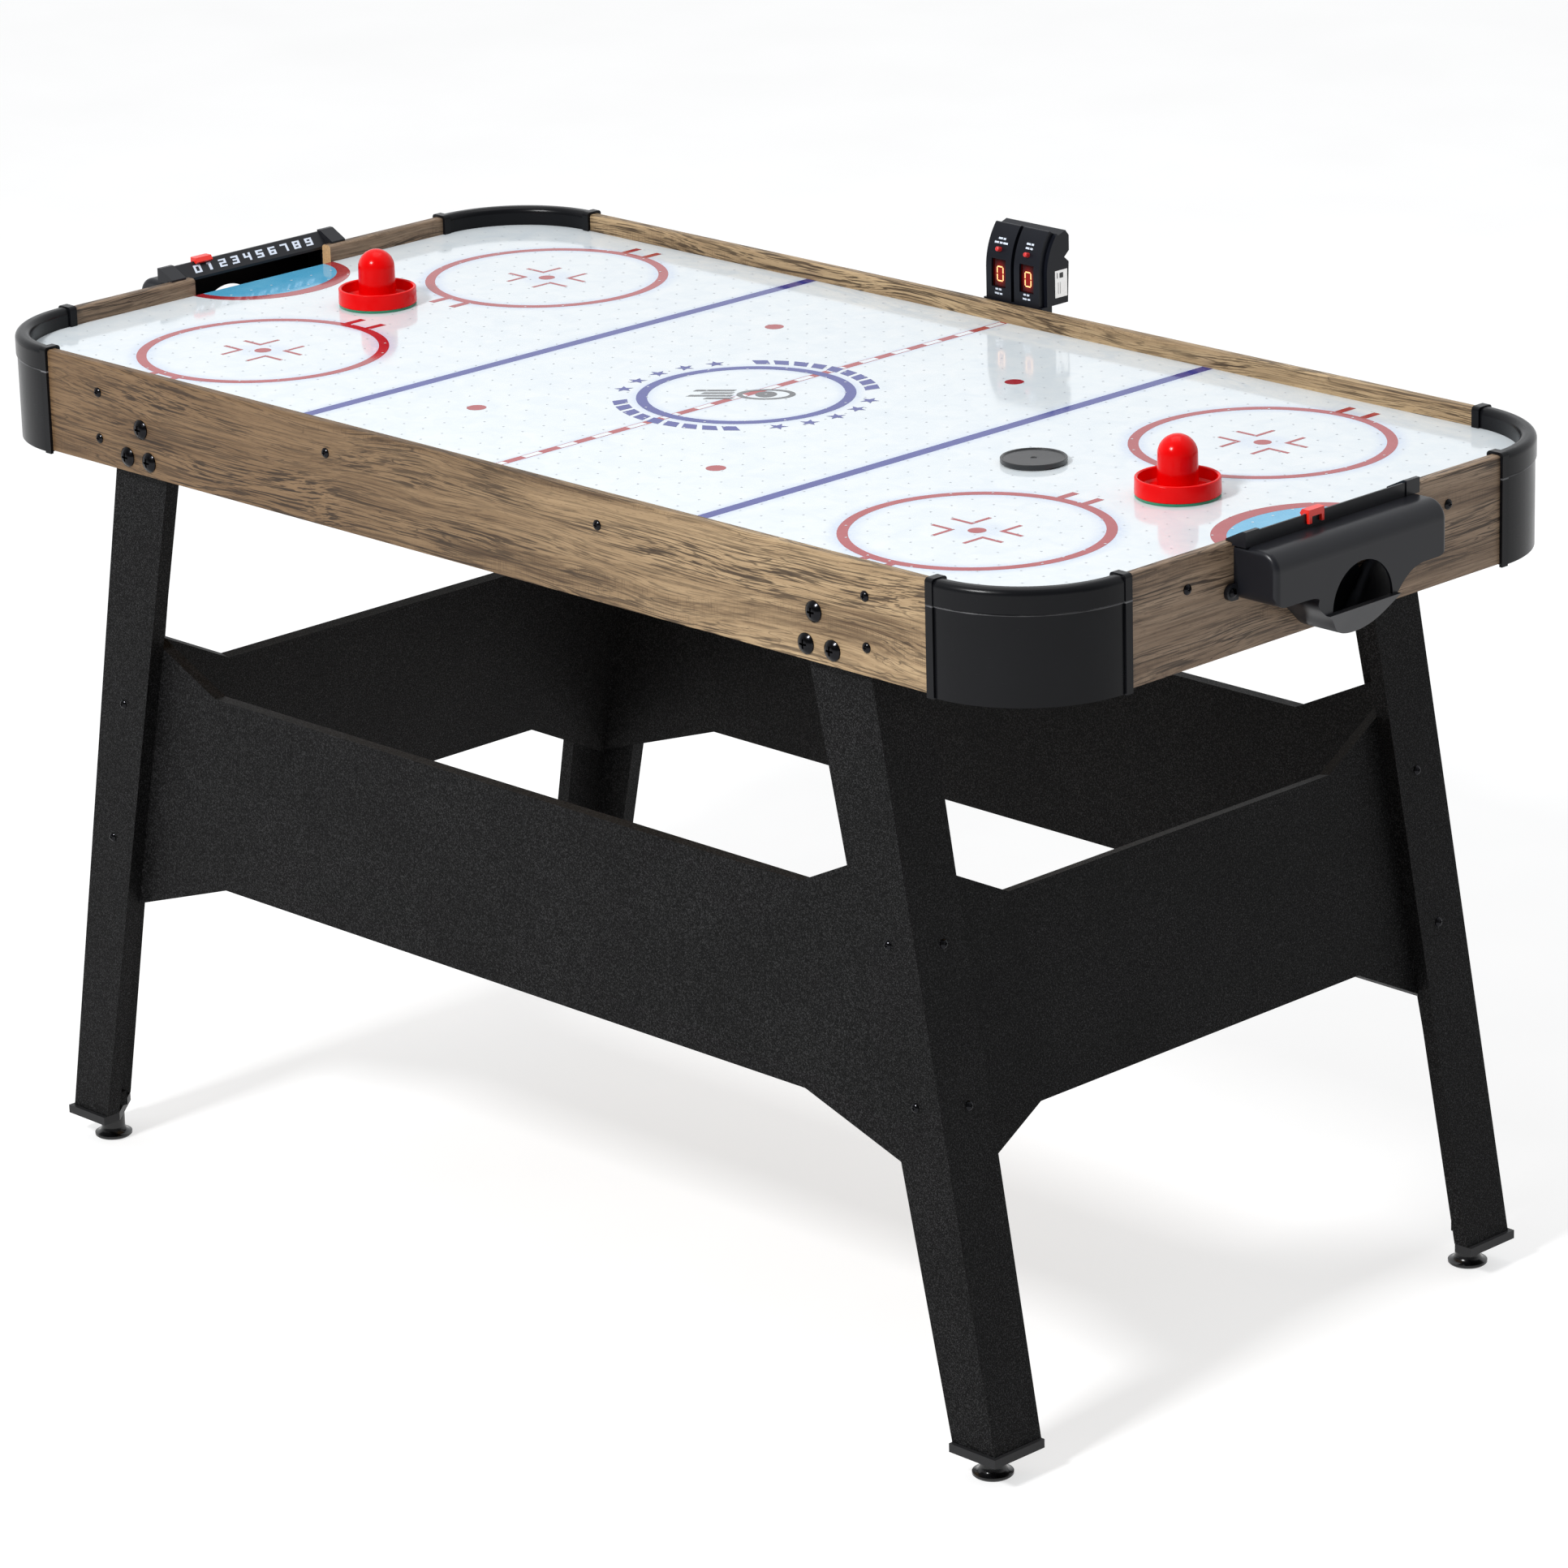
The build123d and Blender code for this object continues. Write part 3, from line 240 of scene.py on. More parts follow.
cap = plastic("cap_plastic", (0.0045, 0.0047, 0.0058), 0.25, Specular_IOR_Level=0.15)
plastic("goal_plastic", (0.009, 0.0095, 0.0125), 0.33, Specular_IOR_Level=0.28)
plastic("scorer_plastic", (0.005, 0.006, 0.010), 0.33, Specular_IOR_Level=0.22)
plastic("foot_plate_plastic", (0.016, 0.016, 0.017), 0.42, Specular_IOR_Level=0.18)
plastic("foot_plastic", (0.004, 0.004, 0.0045), 0.2, Specular_IOR_Level=0.45)
plastic("fan_plastic", (0.012, 0.012, 0.013), 0.45)
plastic("socket_plastic", (0.012, 0.012, 0.013), 0.4)
plastic("striker_plastic", (0.70, 0.0006, 0.001), 0.2, grain_depth=0.000004, wear=0.06,
        Specular_IOR_Level=0.16)
plastic("slider_plastic", (0.78, 0.018, 0.008), 0.25, grain_depth=0.000005, wear=0.1)
plastic("button_plastic", (0.62, 0.03, 0.03), 0.3, grain_depth=0.000005, wear=0.1)
plastic("puck_plastic", (0.010, 0.0105, 0.012), 0.3, Specular_IOR_Level=0.6)
plastic("digit_block", (0.16, 0.01, 0.008), 0.3)
plastic("circuit_board", (0.01, 0.09, 0.035), 0.4)

# Painted highlight: a thin lighter line along the lip under each cap's band, where the lip catches the light.
lip_z = field_top - 4.3 * MM
lip_distance = cap.math("ABSOLUTE", cap.math("SUBTRACT", cap.axes()[2], lip_z))
lip_highlight = cap.math("MULTIPLY", cap.remap(lip_distance, 0.0004, 0.0010, 1.0, 0.0),
                  cap.remap(cap.noise(22.0, 3.0), 0.35, 0.60, 0.25, 1.0))
cap_color = cap.shader.inputs["Base Color"].links[0].from_socket
cap.set("Base Color", cap.mix(lip_highlight, cap_color, (0.13, 0.13, 0.135)))

# Black foil on fibreboard: a fine speckle of lighter grains over a soft leathery relief.
board = Look("black_board", (0.010, 0.010, 0.010), 0.5, Specular_IOR_Level=0.07)
speckle = board.noise(850.0, 3.0, 0.7)
cloud = board.noise(9.0, 3.0)
fleck = board.ramp(speckle, [(0.42, (0.0015, 0.0015, 0.0016)), (0.52, (0.0055, 0.0055, 0.0056)),
                             (0.66, (0.032, 0.032, 0.033))])
shade = board.remap(cloud, 0.3, 0.7, 0.88, 1.12)
board.set("Base Color", board.tinted(shade, fleck))
board.set("Roughness", board.remap(speckle, 0.3, 0.7, 0.58, 0.46))
board.bump(board.noise(1100.0, 3.0, 0.6), 0.00007, 0.7)
looks["black_board"] = board

raw = Look("raw_board", (0.5, 0.33, 0.18), 0.8, Specular_IOR_Level=0.2)
chips = raw.noise(420.0, 5.0, 0.7)
raw.set("Base Color", raw.ramp(chips, [(0.3, (0.33, 0.2, 0.10)), (0.5, (0.48, 0.32, 0.18)),
                                       (0.7, (0.62, 0.45, 0.28))]))
raw.bump(chips, 0.0001, 0.5)
looks["raw_board"] = raw


def metal(name, color, roughness, brush=(80.0, 80.0, 2200.0)):
    """Brushed metal. brush is the fineness of its marks along each axis."""
    look = Look(name, color, roughness, Metallic=1.0)
    fine = look.noise(brush, 3.0, 0.6)
    look.set("Base Color", look.ramp(fine, [(0.3, tuple(0.75 * c for c in color)), (0.7, color)]))
    look.set("Roughness", look.remap(fine, 0.3, 0.7, roughness * 0.8, roughness * 1.25))
    looks[name] = look


metal("zinc_steel", (0.56, 0.57, 0.58), 0.34)
metal("motor_steel", (0.5, 0.5, 0.52), 0.3)
metal("black_steel", (0.020, 0.020, 0.022), 0.16, (900.0, 900.0, 900.0))

felt = Look("green_felt", (0.03, 0.22, 0.12), 0.95, Sheen_Weight=0.4, Sheen_Roughness=0.5,
            Specular_IOR_Level=0.1)
fuzz = felt.noise(2200.0, 4.0, 0.75)
felt.set("Base Color", felt.ramp(fuzz, [(0.3, (0.012, 0.12, 0.07)), (0.55, (0.03, 0.24, 0.13)),
                                        (0.8, (0.10, 0.40, 0.24))]))
felt.bump(fuzz, 0.0003, 0.9)
looks["green_felt"] = felt

# Score windows: dark red, lit from behind round each figure.
window = Look("red_window", (0.02, 0.0005, 0.0005), 0.12, Specular_IOR_Level=0.2,
              Emission_Color=(0.62, 0.006, 0.0))
window_x, _, window_z = window.axes()
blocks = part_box("scorer_digit_blocks")
figure_x = blocks[1].x - 6.5 * MM
figure_z = (blocks[0].z + blocks[1].z) / 2
glow_half_width = 7.5 * MM
glow_half_height = 11.5 * MM
off_x = window.math("SUBTRACT", window.math("ABSOLUTE", window_x), figure_x)
off_x = window.math("DIVIDE", off_x, glow_half_width)
off_z = window.math("DIVIDE", window.math("SUBTRACT", window_z, figure_z), glow_half_height)
reach = window.math("SQRT", window.math("ADD", window.product(off_x, off_x), window.product(off_z, off_z)))
ripple = window.noise(700.0, 2.0)
window.set("Emission Strength", window.math("MULTIPLY", window.remap(reach, 0.25, 1.25, 0.45, 0.006),
                                            window.remap(ripple, 0.2, 0.8, 0.85, 1.15)))
looks["red_window"] = window


# ---------------------------------------------------------------- playfield print, shared sizes
spot_x, spot_y = 462.7 * MM, 180.2 * MM      # centres of the four face-off circles
spot_radius = 118.0 * MM
spot_line = 9.5 * MM
ring_radius = 99.8 * MM                      # centre ring
ring_line = 10.0 * MM
blue_line_x = 256.6 * MM
blue_line_width = 12.5 * MM

field = Look("playfield_print", (0.72, 0.765, 0.79), 0.075, Specular_IOR_Level=0.5)
# The print is the same in all four quarters, so it is worked out from the distances to the two middle lines.
from_middle_x, from_middle_y = (field.math("ABSOLUTE", value) for value in field.axes()[:2])


def circle_distance(centre_x, centre_y, radius):
    """Distance from a circle's line."""
    dx, dy = field.math("SUBTRACT", from_middle_x, centre_x), field.math("SUBTRACT", from_middle_y, centre_y)
    length = field.math("SQRT", field.math("ADD", field.product(dx, dx), field.product(dy, dy)))
    return field.math("ABSOLUTE", field.math("SUBTRACT", length, radius))


# Painted shade: a soft blue-grey shade is laid beside every line, fading outwards and broken up by a mottle.
painted_line_shade = field.remap(circle_distance(spot_x, spot_y, spot_radius - spot_line / 2), 0.0, 0.019, 1.0, 0.0)
for distance, reach_to, strength in (
    (circle_distance(0.0, 0.0, ring_radius - ring_line / 2), 0.016, 1.0),
    (field.math("ABSOLUTE", field.math("SUBTRACT", from_middle_x, blue_line_x)), 0.019, 1.0),
    (from_middle_x, 0.013, 1.0),
    (circle_distance(spot_x, spot_y, 0.014), 0.020, 0.45),
):
    painted_line_shade = field.math("MAXIMUM", painted_line_shade, field.remap(distance, 0.0, reach_to, strength, 0.0))
frost = field.noise((38.0, 38.0, 38.0), 5.0, 0.62, 0.6)
sparkle = field.remap(field.noise(420.0, 2.0), 0.62, 0.75)
ice = field.ramp(frost, [(0.3, (0.60, 0.655, 0.695)), (0.55, (0.645, 0.69, 0.715)),
                         (0.75, (0.68, 0.71, 0.725))])
ice = field.mix(field.math("MULTIPLY", sparkle, 0.25), ice, (0.74, 0.76, 0.78))
mottle = field.remap(field.noise(260.0, 3.0, 0.7), 0.25, 0.75, 0.35, 1.0)
painted_line_shade = field.product(painted_line_shade, mottle, 0.8)
field.set("Base Color", field.mix(painted_line_shade, ice, (0.36, 0.45, 0.66)))
field.set("Roughness", field.remap(frost, 0.3, 0.7, 0.075, 0.10))
field.bump(field.noise(6.0, 2.0), 0.0004, 0.05)
looks["playfield_print"] = field


def ink(name, color, speck):
    """Printing ink under the same gloss, slightly grainy."""
    look = Look(name, color, 0.085, Specular_IOR_Level=0.42)
    dots = look.noise(1400.0, 2.0, 0.6)
    slow = look.noise(30.0, 4.0, 0.6)
    inked = look.mix(look.remap(dots, 0.50, 0.78), color, speck)
    look.set("Base Color", look.mix(look.remap(slow, 0.35, 0.75, 0.0, 0.35), inked, speck))
    look.set("Roughness", look.remap(slow, 0.3, 0.7, 0.075, 0.10))
    look.bump(look.noise(6.0, 2.0), 0.0004, 0.05)
    looks[name] = look


ink("red_ink", (0.31, 0.014, 0.022), (0.39, 0.06, 0.07))
ink("blue_ink", (0.010, 0.018, 0.21), (0.035, 0.05, 0.30))
ink("crease_ink", (0.07, 0.34, 0.55), (0.20, 0.50, 0.68))
ink("white_ink", (0.68, 0.71, 0.74), (0.58, 0.63, 0.70))
ink("grey_ink", (0.06, 0.062, 0.07), (0.28, 0.29, 0.31))
ink("hole_rim", (0.66, 0.69, 0.72), (0.50, 0.53, 0.58))
ink("hole_grey", (0.30, 0.32, 0.35), (0.44, 0.46, 0.50))
ink("crease_hole", (0.78, 0.84, 0.88), (0.60, 0.70, 0.78))

for label, tone, speck in (("number_white", (0.66, 0.72, 0.82), (0.50, 0.55, 0.64)),
                           ("label_white", (0.96, 0.96, 0.95), (0.92, 0.92, 0.91)),
                           ("label_grey", (0.03, 0.03, 0.032), (0.08, 0.08, 0.082))):
    ink(label, tone, speck)
    looks[label].set("Specular IOR Level", 0.3)
# Painted light: the white label glows faintly, so that it looks brighter on the table's side that gets little
# light.
looks["label_white"].set("Emission Color", (1.0, 1.0, 1.0))
looks["label_white"].set("Emission Strength", 0.18)

figure = Look("lit_figure", (0.9, 0.35, 0.1), 0.4, Emission_Color=(1.0, 0.62, 0.26))
fine = figure.noise(900.0, 2.0)
figure.set("Base Color", figure.ramp(fine, [(0.3, (0.8, 0.2, 0.05)), (0.7, (1.0, 0.5, 0.2))]))
figure.set("Emission Strength", figure.remap(fine, 0.2, 0.8, 0.85, 1.2))
looks["lit_figure"] = figure

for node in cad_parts.values():
    for place, material in enumerate(node.data.materials):
        node.data.materials[place] = looks[material.name].material


# ---------------------------------------------------------------- flat printed pieces
def add_piece(name, mesh, look, body="table"):
    """A mesh that moves with a body and takes one of the materials made above."""
    piece = bpy.data.objects.new(name, mesh)
    bpy.context.scene.collection.objects.link(piece)
    mesh.materials.append(looks[look].material)
    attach(piece, body)
    return piece


def flat_piece(name, loops, look, place, body="table"):
    """A sheet of flat outlines. place turns a 2-D point into a point in the frame."""
    bm = bmesh.new()
    for loop in loops:
        bm.faces.new([bm.verts.new(place(x, y)) for x, y in loop])
    mesh = bpy.data.meshes.new(name)
    bm.to_mesh(mesh)
    bm.free()
    return add_piece(name, mesh, look, body)


def on_field(layer):
    """Ink layers lie a few hundredths of a millimetre over the playfield, one over the other."""
    z = field_top + (0.05 + 0.04 * layer) * MM
    return lambda x, y: (x, y, z)


def arc_band(cx, cy, outer, inner, start=0.0, end=2 * pi, steps=96):
    """Quads of a ring, or part of one. outer and inner are radii, or pairs for an ellipse."""
    ox, oy = outer if isinstance(outer, tuple) else (outer, outer)
    ix, iy = inner if isinstance(inner, tuple) else (inner, inner)
    angles = [start + (end - start) * k / steps for k in range(steps + 1)]
    quads = []
    for a, b in zip(angles, angles[1:]):
        quads.append([(cx + ix * cos(a), cy + iy * sin(a)), (cx + ox * cos(a), cy + oy * sin(a)),
                      (cx + ox * cos(b), cy + oy * sin(b)), (cx + ix * cos(b), cy + iy * sin(b))])
    return quads


def disc(cx, cy, radius, sides=40):
    angles = [2 * pi * k / sides for k in range(sides)]
    return [(cx + radius * cos(a), cy + radius * sin(a)) for a in angles]


def rectangle(x0, y0, x1, y1):
    return [(x0, y0), (x1, y0), (x1, y1), (x0, y1)]


def star(cx, cy, radius, turn):
    """A star of five points, the first in the direction of turn."""
    points = []
    for k in range(10):
        r = radius if k % 2 == 0 else radius * 0.42
        points.append((cx + r * cos(turn + k * pi / 5), cy + r * sin(turn + k * pi / 5)))
    return points


spot_dot_radius = 8.0 * MM
mark_line = 4.0 * MM
mark_arm = 25.0 * MM
mark_corner = (16.0 * MM, 10.0 * MM)         # from the circle's middle to the corner of each L
tick_line = 8.0 * MM
tick_x = 14.5 * MM                           # from the circle's middle to each tick
tick_reach = 20.0 * MM
lone_dot = (155.5 * MM, 188.2 * MM)          # the four dots between the blue lines
lone_dot_radius = 9.0 * MM
crease_outer = (77.5 * MM, 88.5 * MM)
crease_inner = (62.0 * MM, 77.0 * MM)
crease_steps = 72
red = []
for sx in (-1, 1):
    for sy in (-1, 1):
        cx, cy = sx * spot_x, sy * spot_y
        red += arc_band(cx, cy, spot_radius, spot_radius - spot_line)
        red.append(disc(cx, cy, spot_dot_radius))
        for mx in (-1, 1):
            for my in (-1, 1):
                # An L in each quarter: one arm along the table and one across it.
                vx, vy = cx + mx * mark_corner[0], cy + my * mark_corner[1]
                red.append(rectangle(vx, vy, vx + mx * mark_arm, vy + my * mark_line))
                red.append(rectangle(vx, vy + my * mark_line, vx + mx * mark_line, vy + my * mark_arm))
            for ty in (-1, 1):
                left = cx + mx * tick_x - tick_line / 2
                foot = cy + ty * (spot_radius ** 2 - tick_x ** 2) ** 0.5
                red.append(rectangle(left, foot, left + tick_line, foot + ty * tick_reach))
        red.append(disc(sx * lone_dot[0], sy * lone_dot[1], lone_dot_radius))
for sx in (-1, 1):
    start = pi / 2 if sx > 0 else -pi / 2
    red += arc_band(sx * field_half_x, 0.0, crease_outer, crease_inner, start, start + pi, crease_steps)
flat_piece("print_red", red, "red_ink", on_field(1))

blue = [rectangle(sx * blue_line_x - blue_line_width / 2, -field_half_y,
                  sx * blue_line_x + blue_line_width / 2, field_half_y) for sx in (-1, 1)]
flat_piece("print_blue_lines", blue, "blue_ink", on_field(0))

creases = []
for sx in (-1, 1):
    start = pi / 2 if sx > 0 else -pi / 2
    edge = [start + pi * k / crease_steps for k in range(crease_steps + 1)]
    creases.append([(sx * field_half_x + crease_inner[0] * cos(a), crease_inner[1] * sin(a)) for a in edge])
flat_piece("print_crease", creases, "crease_ink", on_field(0))

# The centre line: a red band with white blocks.
centre_half = 4.6 * MM
centre_margin = 1.1 * MM                     # red left beside each white block
block = 21.0 * MM
block_gap = 0.5 * MM
flat_piece("print_centre_line", [rectangle(-centre_half, -field_half_y, centre_half, field_half_y)],
           "red_ink", on_field(0))
blocks_white = []
count = int(field_half_y / block) + 1
for k in range(-count, count, 2):
    low, high = k * block + block_gap, (k + 1) * block - block_gap
    if low > -field_half_y and high < field_half_y:
        blocks_white.append(rectangle(centre_margin - centre_half, low, centre_half - centre_margin, high))
flat_piece("print_centre_blocks", blocks_white, "white_ink", on_field(1))

# The centre ring, with five stars at each end and a band of slanted blocks at each side.
star_circle = 115.5 * MM
star_radius = 9.4 * MM
star_turn = radians(15.0)
slanted_low, slanted_high = 108.0 * MM, 121.5 * MM
slanted_first = radians(-42.0)
slanted_turn = radians(9.5)
slanted_width = radians(6.9)
slant = radians(2.4)
ring = arc_band(0.0, 0.0, ring_radius, ring_radius - ring_line, steps=128)
for end in (0.0, pi):
    for k in range(-2, 3):
        turn = end + star_turn * k
        ring.append(star(star_circle * cos(turn), star_circle * sin(turn), star_radius, turn))
for side in (pi / 2, -pi / 2):
    for k in range(9):
        start = side + slanted_first + slanted_turn * k
        corners = [(slanted_low, start), (slanted_high, start + slant),
                   (slanted_high, start + slant + slanted_width), (slanted_low, start + slanted_width)]
        ring.append([(r * cos(a), r * sin(a)) for r, a in corners])
flat_piece("print_ring", ring, "blue_ink", on_field(2))

# A plain emblem in the middle: a puck with speed lines.
emblem_turn = radians(40.0)
emblem_puck = (18.0 * MM, 1.0 * MM)
speed_lines = ((-50.0, -13.0), (-42.0, -14.0), (-54.0, -14.0), (-38.0, -12.0))
speed_line_top = 14.5 * MM
speed_line_pitch = 9.0 * MM
speed_line_half = 2.6 * MM
speed_line_lean = 3.0 * MM


def emblem_place(x, y):
    return (x * cos(emblem_turn) - y * sin(emblem_turn), x * sin(emblem_turn) + y * cos(emblem_turn),
            field_top + 0.17 * MM)


emblem = arc_band(*emblem_puck, (27.0 * MM, 18.0 * MM), (21.5 * MM, 13.5 * MM), steps=48)
emblem.append(disc(*emblem_puck, 10.0 * MM))
for k, (left, right) in enumerate(speed_lines):
    low = speed_line_top - speed_line_pitch * k - speed_line_half
    high = low + 2 * speed_line_half
    emblem.append([(left * MM, low), (right * MM, low),
                   (right * MM + speed_line_lean, high), (left * MM + speed_line_lean, high)])
flat_piece("print_emblem", emblem, "grey_ink", emblem_place)

# Air holes on a one-inch grid.
hole_pitch = 25.4 * MM
hole_radius = 0.75 * MM
rim_outer, rim_inner = hole_radius * 1.5, hole_radius * 0.75
hole_margin = 12 * MM                        # no holes nearer to the field's edge than this
corner_centre = 96 * MM                      # the round corners' centres, from the field's edges
corner_reach = 86 * MM
holes, rims, crease_holes = [], [], []
columns, rows = int(field_half_x / hole_pitch), int(field_half_y / hole_pitch)
for i in range(-columns, columns + 1):
    for j in range(-rows, rows + 1):
        x, y = (i + 0.5) * hole_pitch, (j + 0.5) * hole_pitch
        if abs(x) > field_half_x - hole_margin or abs(y) > field_half_y - hole_margin:
            continue
        over_x, over_y = abs(x) - (field_half_x - corner_centre), abs(y) - (field_half_y - corner_centre)
        if over_x > 0 and over_y > 0 and over_x ** 2 + over_y ** 2 > corner_reach ** 2:
            continue
        in_crease = ((field_half_x - abs(x)) / crease_inner[0]) ** 2 + (y / crease_inner[1]) ** 2 < 1
        rim = arc_band(x, y, rim_outer, rim_inner, steps=10)
        if in_crease:
            crease_holes += rim
        else:
            rims += rim
        holes.append(disc(x, y, rim_inner, 8))
flat_piece("air_hole_rims", rims, "hole_rim", on_field(4))
flat_piece("air_hole_rims_in_crease", crease_holes, "crease_hole", on_field(4))
# The grey discs are painted shade: they stand in for the dark inside of each hole.
flat_piece("air_holes", holes, "hole_grey", on_field(4))


# ---------------------------------------------------------------- numbers on the score rails
# Each figure is made of upright and lying bars on a grid 3 wide and 5 high.
figure_bars = {
    0: [(0, 0, 1, 5), (2, 0, 3, 5), (1, 0, 2, 1), (1, 4, 2, 5)],
    1: [(1, 0, 2, 5), (0.35, 4, 1, 5)],
    2: [(0, 0, 3, 1), (0, 1, 1, 2), (0, 2, 3, 3), (2, 3, 3, 4), (0, 4, 3, 5)],
    3: [(0, 0, 2, 1), (2, 0, 3, 5), (0.5, 2, 2, 3), (0, 4, 2, 5)],
    4: [(2, 0, 3, 5), (0, 2, 2, 3), (0, 3, 1, 5)],
    5: [(0, 0, 3, 1), (2, 1, 3, 2), (0, 2, 3, 3), (0, 3, 1, 4), (0, 4, 3, 5)],
    6: [(0, 0, 1, 5), (1, 0, 3, 1), (2, 1, 3, 3), (1, 2, 2, 3), (1, 4, 3, 5)],
    7: [(2, 0, 3, 5), (0, 4, 2, 5)],
    8: [(0, 0, 1, 5), (2, 0, 3, 5), (1, 0, 2, 1), (1, 2, 2, 3), (1, 4, 2, 5)],
    9: [(2, 0, 3, 5), (0, 0, 2, 1), (0, 2, 2, 3), (0, 3, 1, 5), (1, 4, 2, 5)],
}
figure_edges_x = (0.0, 2.7 * MM, 6.2 * MM, 8.9 * MM)
figure_edges_y = (0.0, 1.8 * MM, 3.5 * MM, 5.3 * MM, 7.0 * MM, 8.8 * MM)
figure_lean = 0.16
figure_shift = 3.5 * MM        # the row of numbers starts a little past the middle of its plate


def grid_edge(edges, at):
    """A position on the grid; a fraction falls between two edges."""
    low = int(at)
    if low == len(edges) - 1:
        return edges[low]
    return edges[low] + (at - low) * (edges[low + 1] - edges[low])


def figure_loops(number):
    """The bars of one figure as leaning four-sided outlines, centred on its own box."""
    loops = []
    for left, low, right, high in figure_bars[number]:
        x0, x1 = grid_edge(figure_edges_x, left), grid_edge(figure_edges_x, right)
        y0, y1 = grid_edge(figure_edges_y, low), grid_edge(figure_edges_y, high)
        loops.append([(x - figure_edges_x[-1] / 2 + (y - figure_edges_y[-1] / 2) * figure_lean,
                       y - figure_edges_y[-1] / 2) for x, y in ((x0, y0), (x1, y0), (x1, y1), (x0, y1))])
    return loops


figure_pitch = 15.7 * MM
figure_lift = 0.12 * MM        # paint lies this far over the plastic
# The sloping face of the number plate, in X and Z at the right end: its lower and its upper edge.
plate_foot = Vector((686.0, 0, 794.5)) * MM
plate_head = Vector((698.3, 0, 806.5)) * MM
loops = []
for number in range(10):
    start = (number - 4.5) * figure_pitch + figure_shift
    loops += [[(x + start, y) for x, y in loop] for loop in figure_loops(number)]
for side_name, side in (("right", 1), ("left", -1)):
    foot = Vector((side * plate_foot.x, 0, plate_foot.z))
    up = Vector((side * plate_head.x, 0, plate_head.z)) - foot
    middle = foot + up * 0.5
    up.normalize()
    reading = Vector((0, -side, 0))
    out = reading.cross(up)
    flat_piece(f"score_numbers_{side_name}", loops, "number_white",
               lambda x, y: middle + reading * x + up * y + out * figure_lift)

# ---------------------------------------------------------------- scorer details
window_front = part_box("scorer_windows")[0].y - 0.12 * MM
column_x = 18.0 * MM           # the middle of each of the scorer's two columns


def lit_zero(cx, cz):
    """Six of the seven bars, as in a zero, each with cut corners."""
    half_width, half_height, gap = 3.7 * MM, 6.8 * MM, 0.3 * MM
    half_bar = 0.65 * MM
    left, right = cx - half_width + gap, cx + half_width - gap
    bars = []

    def lying(z):
        return [(left, z), (left + half_bar, z + half_bar), (right - half_bar, z + half_bar),
                (right, z), (right - half_bar, z - half_bar), (left + half_bar, z - half_bar)]

    def standing(x, z0, z1):
        low, high = z0 + gap, z1 - gap
        return [(x, low), (x + half_bar, low + half_bar), (x + half_bar, high - half_bar),
                (x, high), (x - half_bar, high - half_bar), (x - half_bar, low + half_bar)]

    for z in (cz - half_height, cz + half_height):
        bars.append(lying(z))
    for x in (cx - half_width, cx + half_width):
        bars.append(standing(x, cz - half_height, cz))
        bars.append(standing(x, cz, cz + half_height))
    return bars


zeros = lit_zero(-column_x, figure_z) + lit_zero(column_x, figure_z)
flat_piece("lit_figures", zeros, "lit_figure", lambda x, z: (x, window_front, z))

# Rows of small white dashes stand in for the captions beside the windows and buttons.
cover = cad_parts["scorer_cover"]
cover_points = [v.co for v in cover.data.vertices]
cover_tree = BVHTree.FromPolygons(cover_points, [p.vertices for p in cover.data.polygons])


def cover_front(x, z):
    """The point on the cover's curved front, seen from inside the table, just in front of it."""
    hit = cover_tree.ray_cast(Vector((x, 0.2, z)), Vector((0, 1, 0)))[0]
    return (x, hit.y - 0.15 * MM, z)


dash_half = 0.85 * MM
dash_gap = 1.0 * MM
dashes = []
for side in (-1, 1):
    over_button = (4.6, 3.2) if side > 0 else (5.4, 3.6, 5.8)
    # For each row its height and the lengths of its dashes, in millimetres.
    rows = ((803.5, (5.2, 3.4)), (807.6, (3.4, 3.2)), (851.4, over_button), (855.2, (5.2, 3.0)))
    for height, lengths in rows:
        z = height * MM
        x = side * column_x - (sum(lengths) * MM + dash_gap * (len(lengths) - 1)) / 2
        for length in lengths:
            dashes.append(rectangle(x, z - dash_half, x + length * MM, z + dash_half))
            x += length * MM + dash_gap
flat_piece("scorer_caption_marks", dashes, "number_white", cover_front)

# A white label on the scorer's right side, with plain marks on it. Its corners are in Y and Z.
label_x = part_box("scorer_shell")[1].x + 0.12 * MM
flat_piece("scorer_side_label", [rectangle(0.3680, 0.8040, 0.3845, 0.8300)], "label_white",
           lambda y, z: (label_x, y, z))
label_marks = [rectangle(0.3705, 0.8225, 0.3715, 0.8280), rectangle(0.3740, 0.8225, 0.3790, 0.8275),
               rectangle(0.3720, 0.8075, 0.3725, 0.8185), rectangle(0.3745, 0.8075, 0.3750, 0.8185)]
flat_piece("scorer_label_marks", label_marks, "label_grey",
           lambda y, z: (label_x + 0.06 * MM, y, z))

# ---------------------------------------------------------------- floor, light and camera
paper = Look("floor_paper", (0.40, 0.40, 0.40), 0.9, Specular_IOR_Level=0.1)
paper.set("Emission Color", (1.0, 1.0, 1.0))
paper.set("Emission Strength", 0.64)
paper_tones = [(0.3, (0.39, 0.39, 0.39)), (0.7, (0.42, 0.42, 0.42))]
paper.set("Base Color", paper.ramp(paper.noise(3.0, 3.0), paper_tones))
floor_mesh = bpy.data.meshes.new("floor")
reach_out = 40.0
floor_mesh.from_pydata([(-reach_out, -reach_out, 0), (reach_out, -reach_out, 0), (reach_out, reach_out, 0),
                        (-reach_out, reach_out, 0)], [], [(0, 1, 2, 3)])
floor_mesh.materials.append(paper.material)
floor = bpy.data.objects.new("floor", floor_mesh)
bpy.context.scene.collection.objects.link(floor)

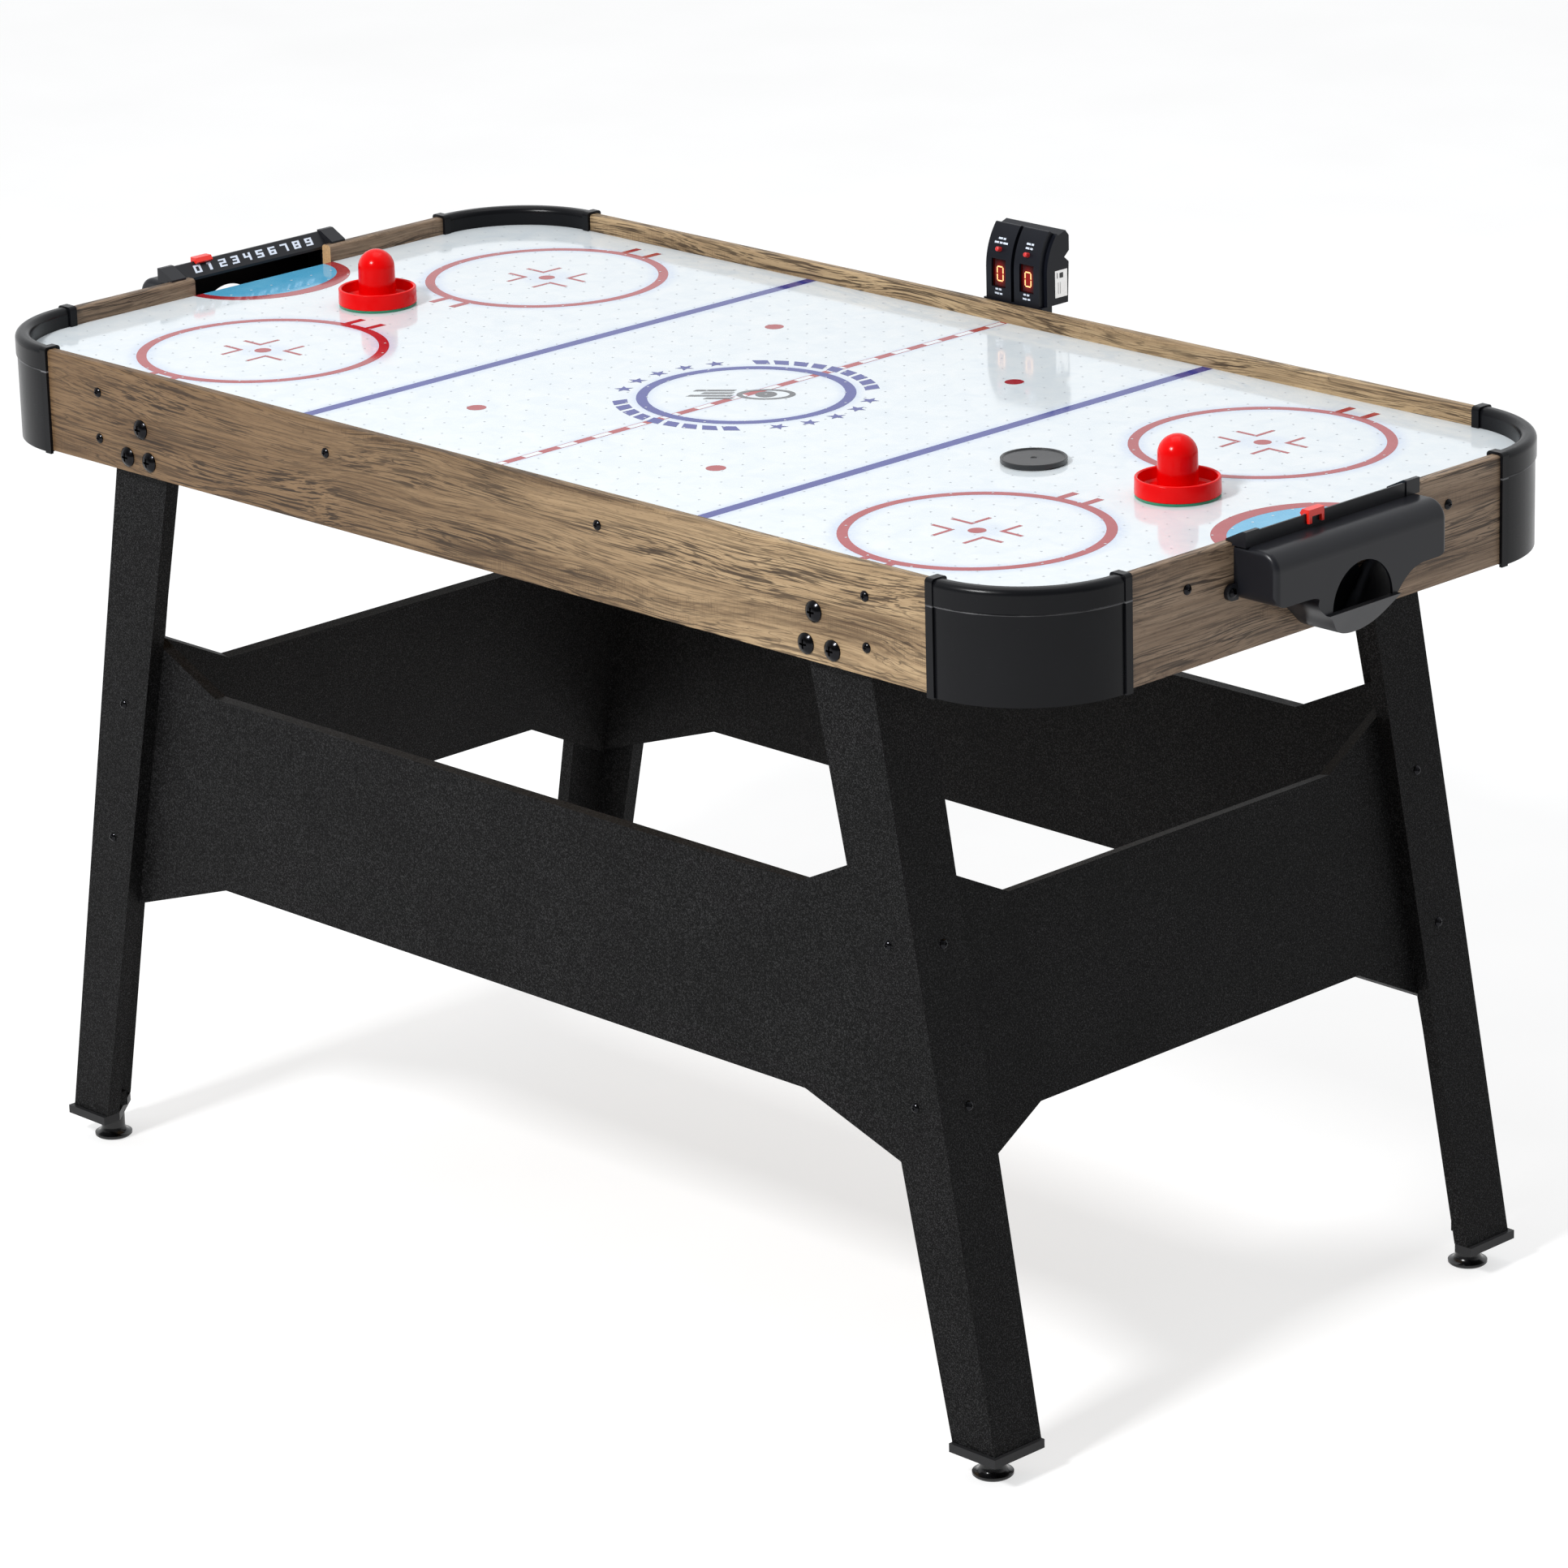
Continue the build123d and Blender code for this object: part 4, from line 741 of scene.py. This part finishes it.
# A white sheet hangs behind the table, and the room on the camera's side is darker.
world = bpy.data.worlds.new("studio")
world.use_nodes = True
sky = world.node_tree
direction = add_node(sky, "ShaderNodeTexCoord").outputs["Generated"]
away = (-0.6, 0.8, 0.25)
dot = add_node(sky, "ShaderNodeVectorMath", {0: direction, 1: away}, operation="DOT_PRODUCT")
behind = dot.outputs["Value"]
glow = add_node(sky, "ShaderNodeMapRange", {
    "Value": behind, "From Min": -0.55, "From Max": 0.45, "To Min": 0.22, "To Max": 0.95,
}, interpolation_type="SMOOTHSTEP").outputs[0]
sky.nodes["Background"].inputs["Color"].default_value = (0.97, 0.985, 1.0, 1.0)
sky.links.new(glow, sky.nodes["Background"].inputs["Strength"])
bpy.context.scene.world = world


def soft_light(name, place, target, width, height, power):
    """A rectangular light at a place, turned towards a target. power is in watts."""
    lamp = bpy.data.lights.new(name, "AREA")
    lamp.shape = "RECTANGLE"
    lamp.size, lamp.size_y = width, height
    lamp.energy = power
    holder = bpy.data.objects.new(name, lamp)
    bpy.context.scene.collection.objects.link(holder)
    holder.location = place
    holder.rotation_euler = (Vector(target) - Vector(place)).to_track_quat("-Z", "Y").to_euler()


soft_light("key", (0.3, -4.2, 4.0), (0.1, 0.0, 0.6), 0.75, 0.75, 260.0)
soft_light("overhead", (-0.6, 0.6, 4.2), (0.0, 0.0, 0.6), 2.4, 2.4, 25.0)

camera = bpy.data.objects.new("camera", bpy.data.cameras.new("camera"))
bpy.context.scene.collection.objects.link(camera)
camera.data.sensor_width = 36.0
camera.data.lens = 150.88
camera.data.clip_end = 200.0
camera_place = (4.15075, -3.98111, 2.32631)
yaw, pitch, roll = radians(135.951), radians(-18.4417), radians(-1.5730)
forward = Vector((cos(yaw) * cos(pitch), sin(yaw) * cos(pitch), sin(pitch)))
right = forward.cross(Vector((0, 0, 1))).normalized()
up = right.cross(forward)
tilted_right = right * cos(roll) + up * sin(roll)
tilted_up = -right * sin(roll) + up * cos(roll)
facing = Matrix((tilted_right, tilted_up, -forward)).transposed().to_4x4()
camera.matrix_world = Matrix.Translation(camera_place) @ facing
bpy.context.scene.camera = camera
bpy.context.scene.view_settings.view_transform = "Standard"
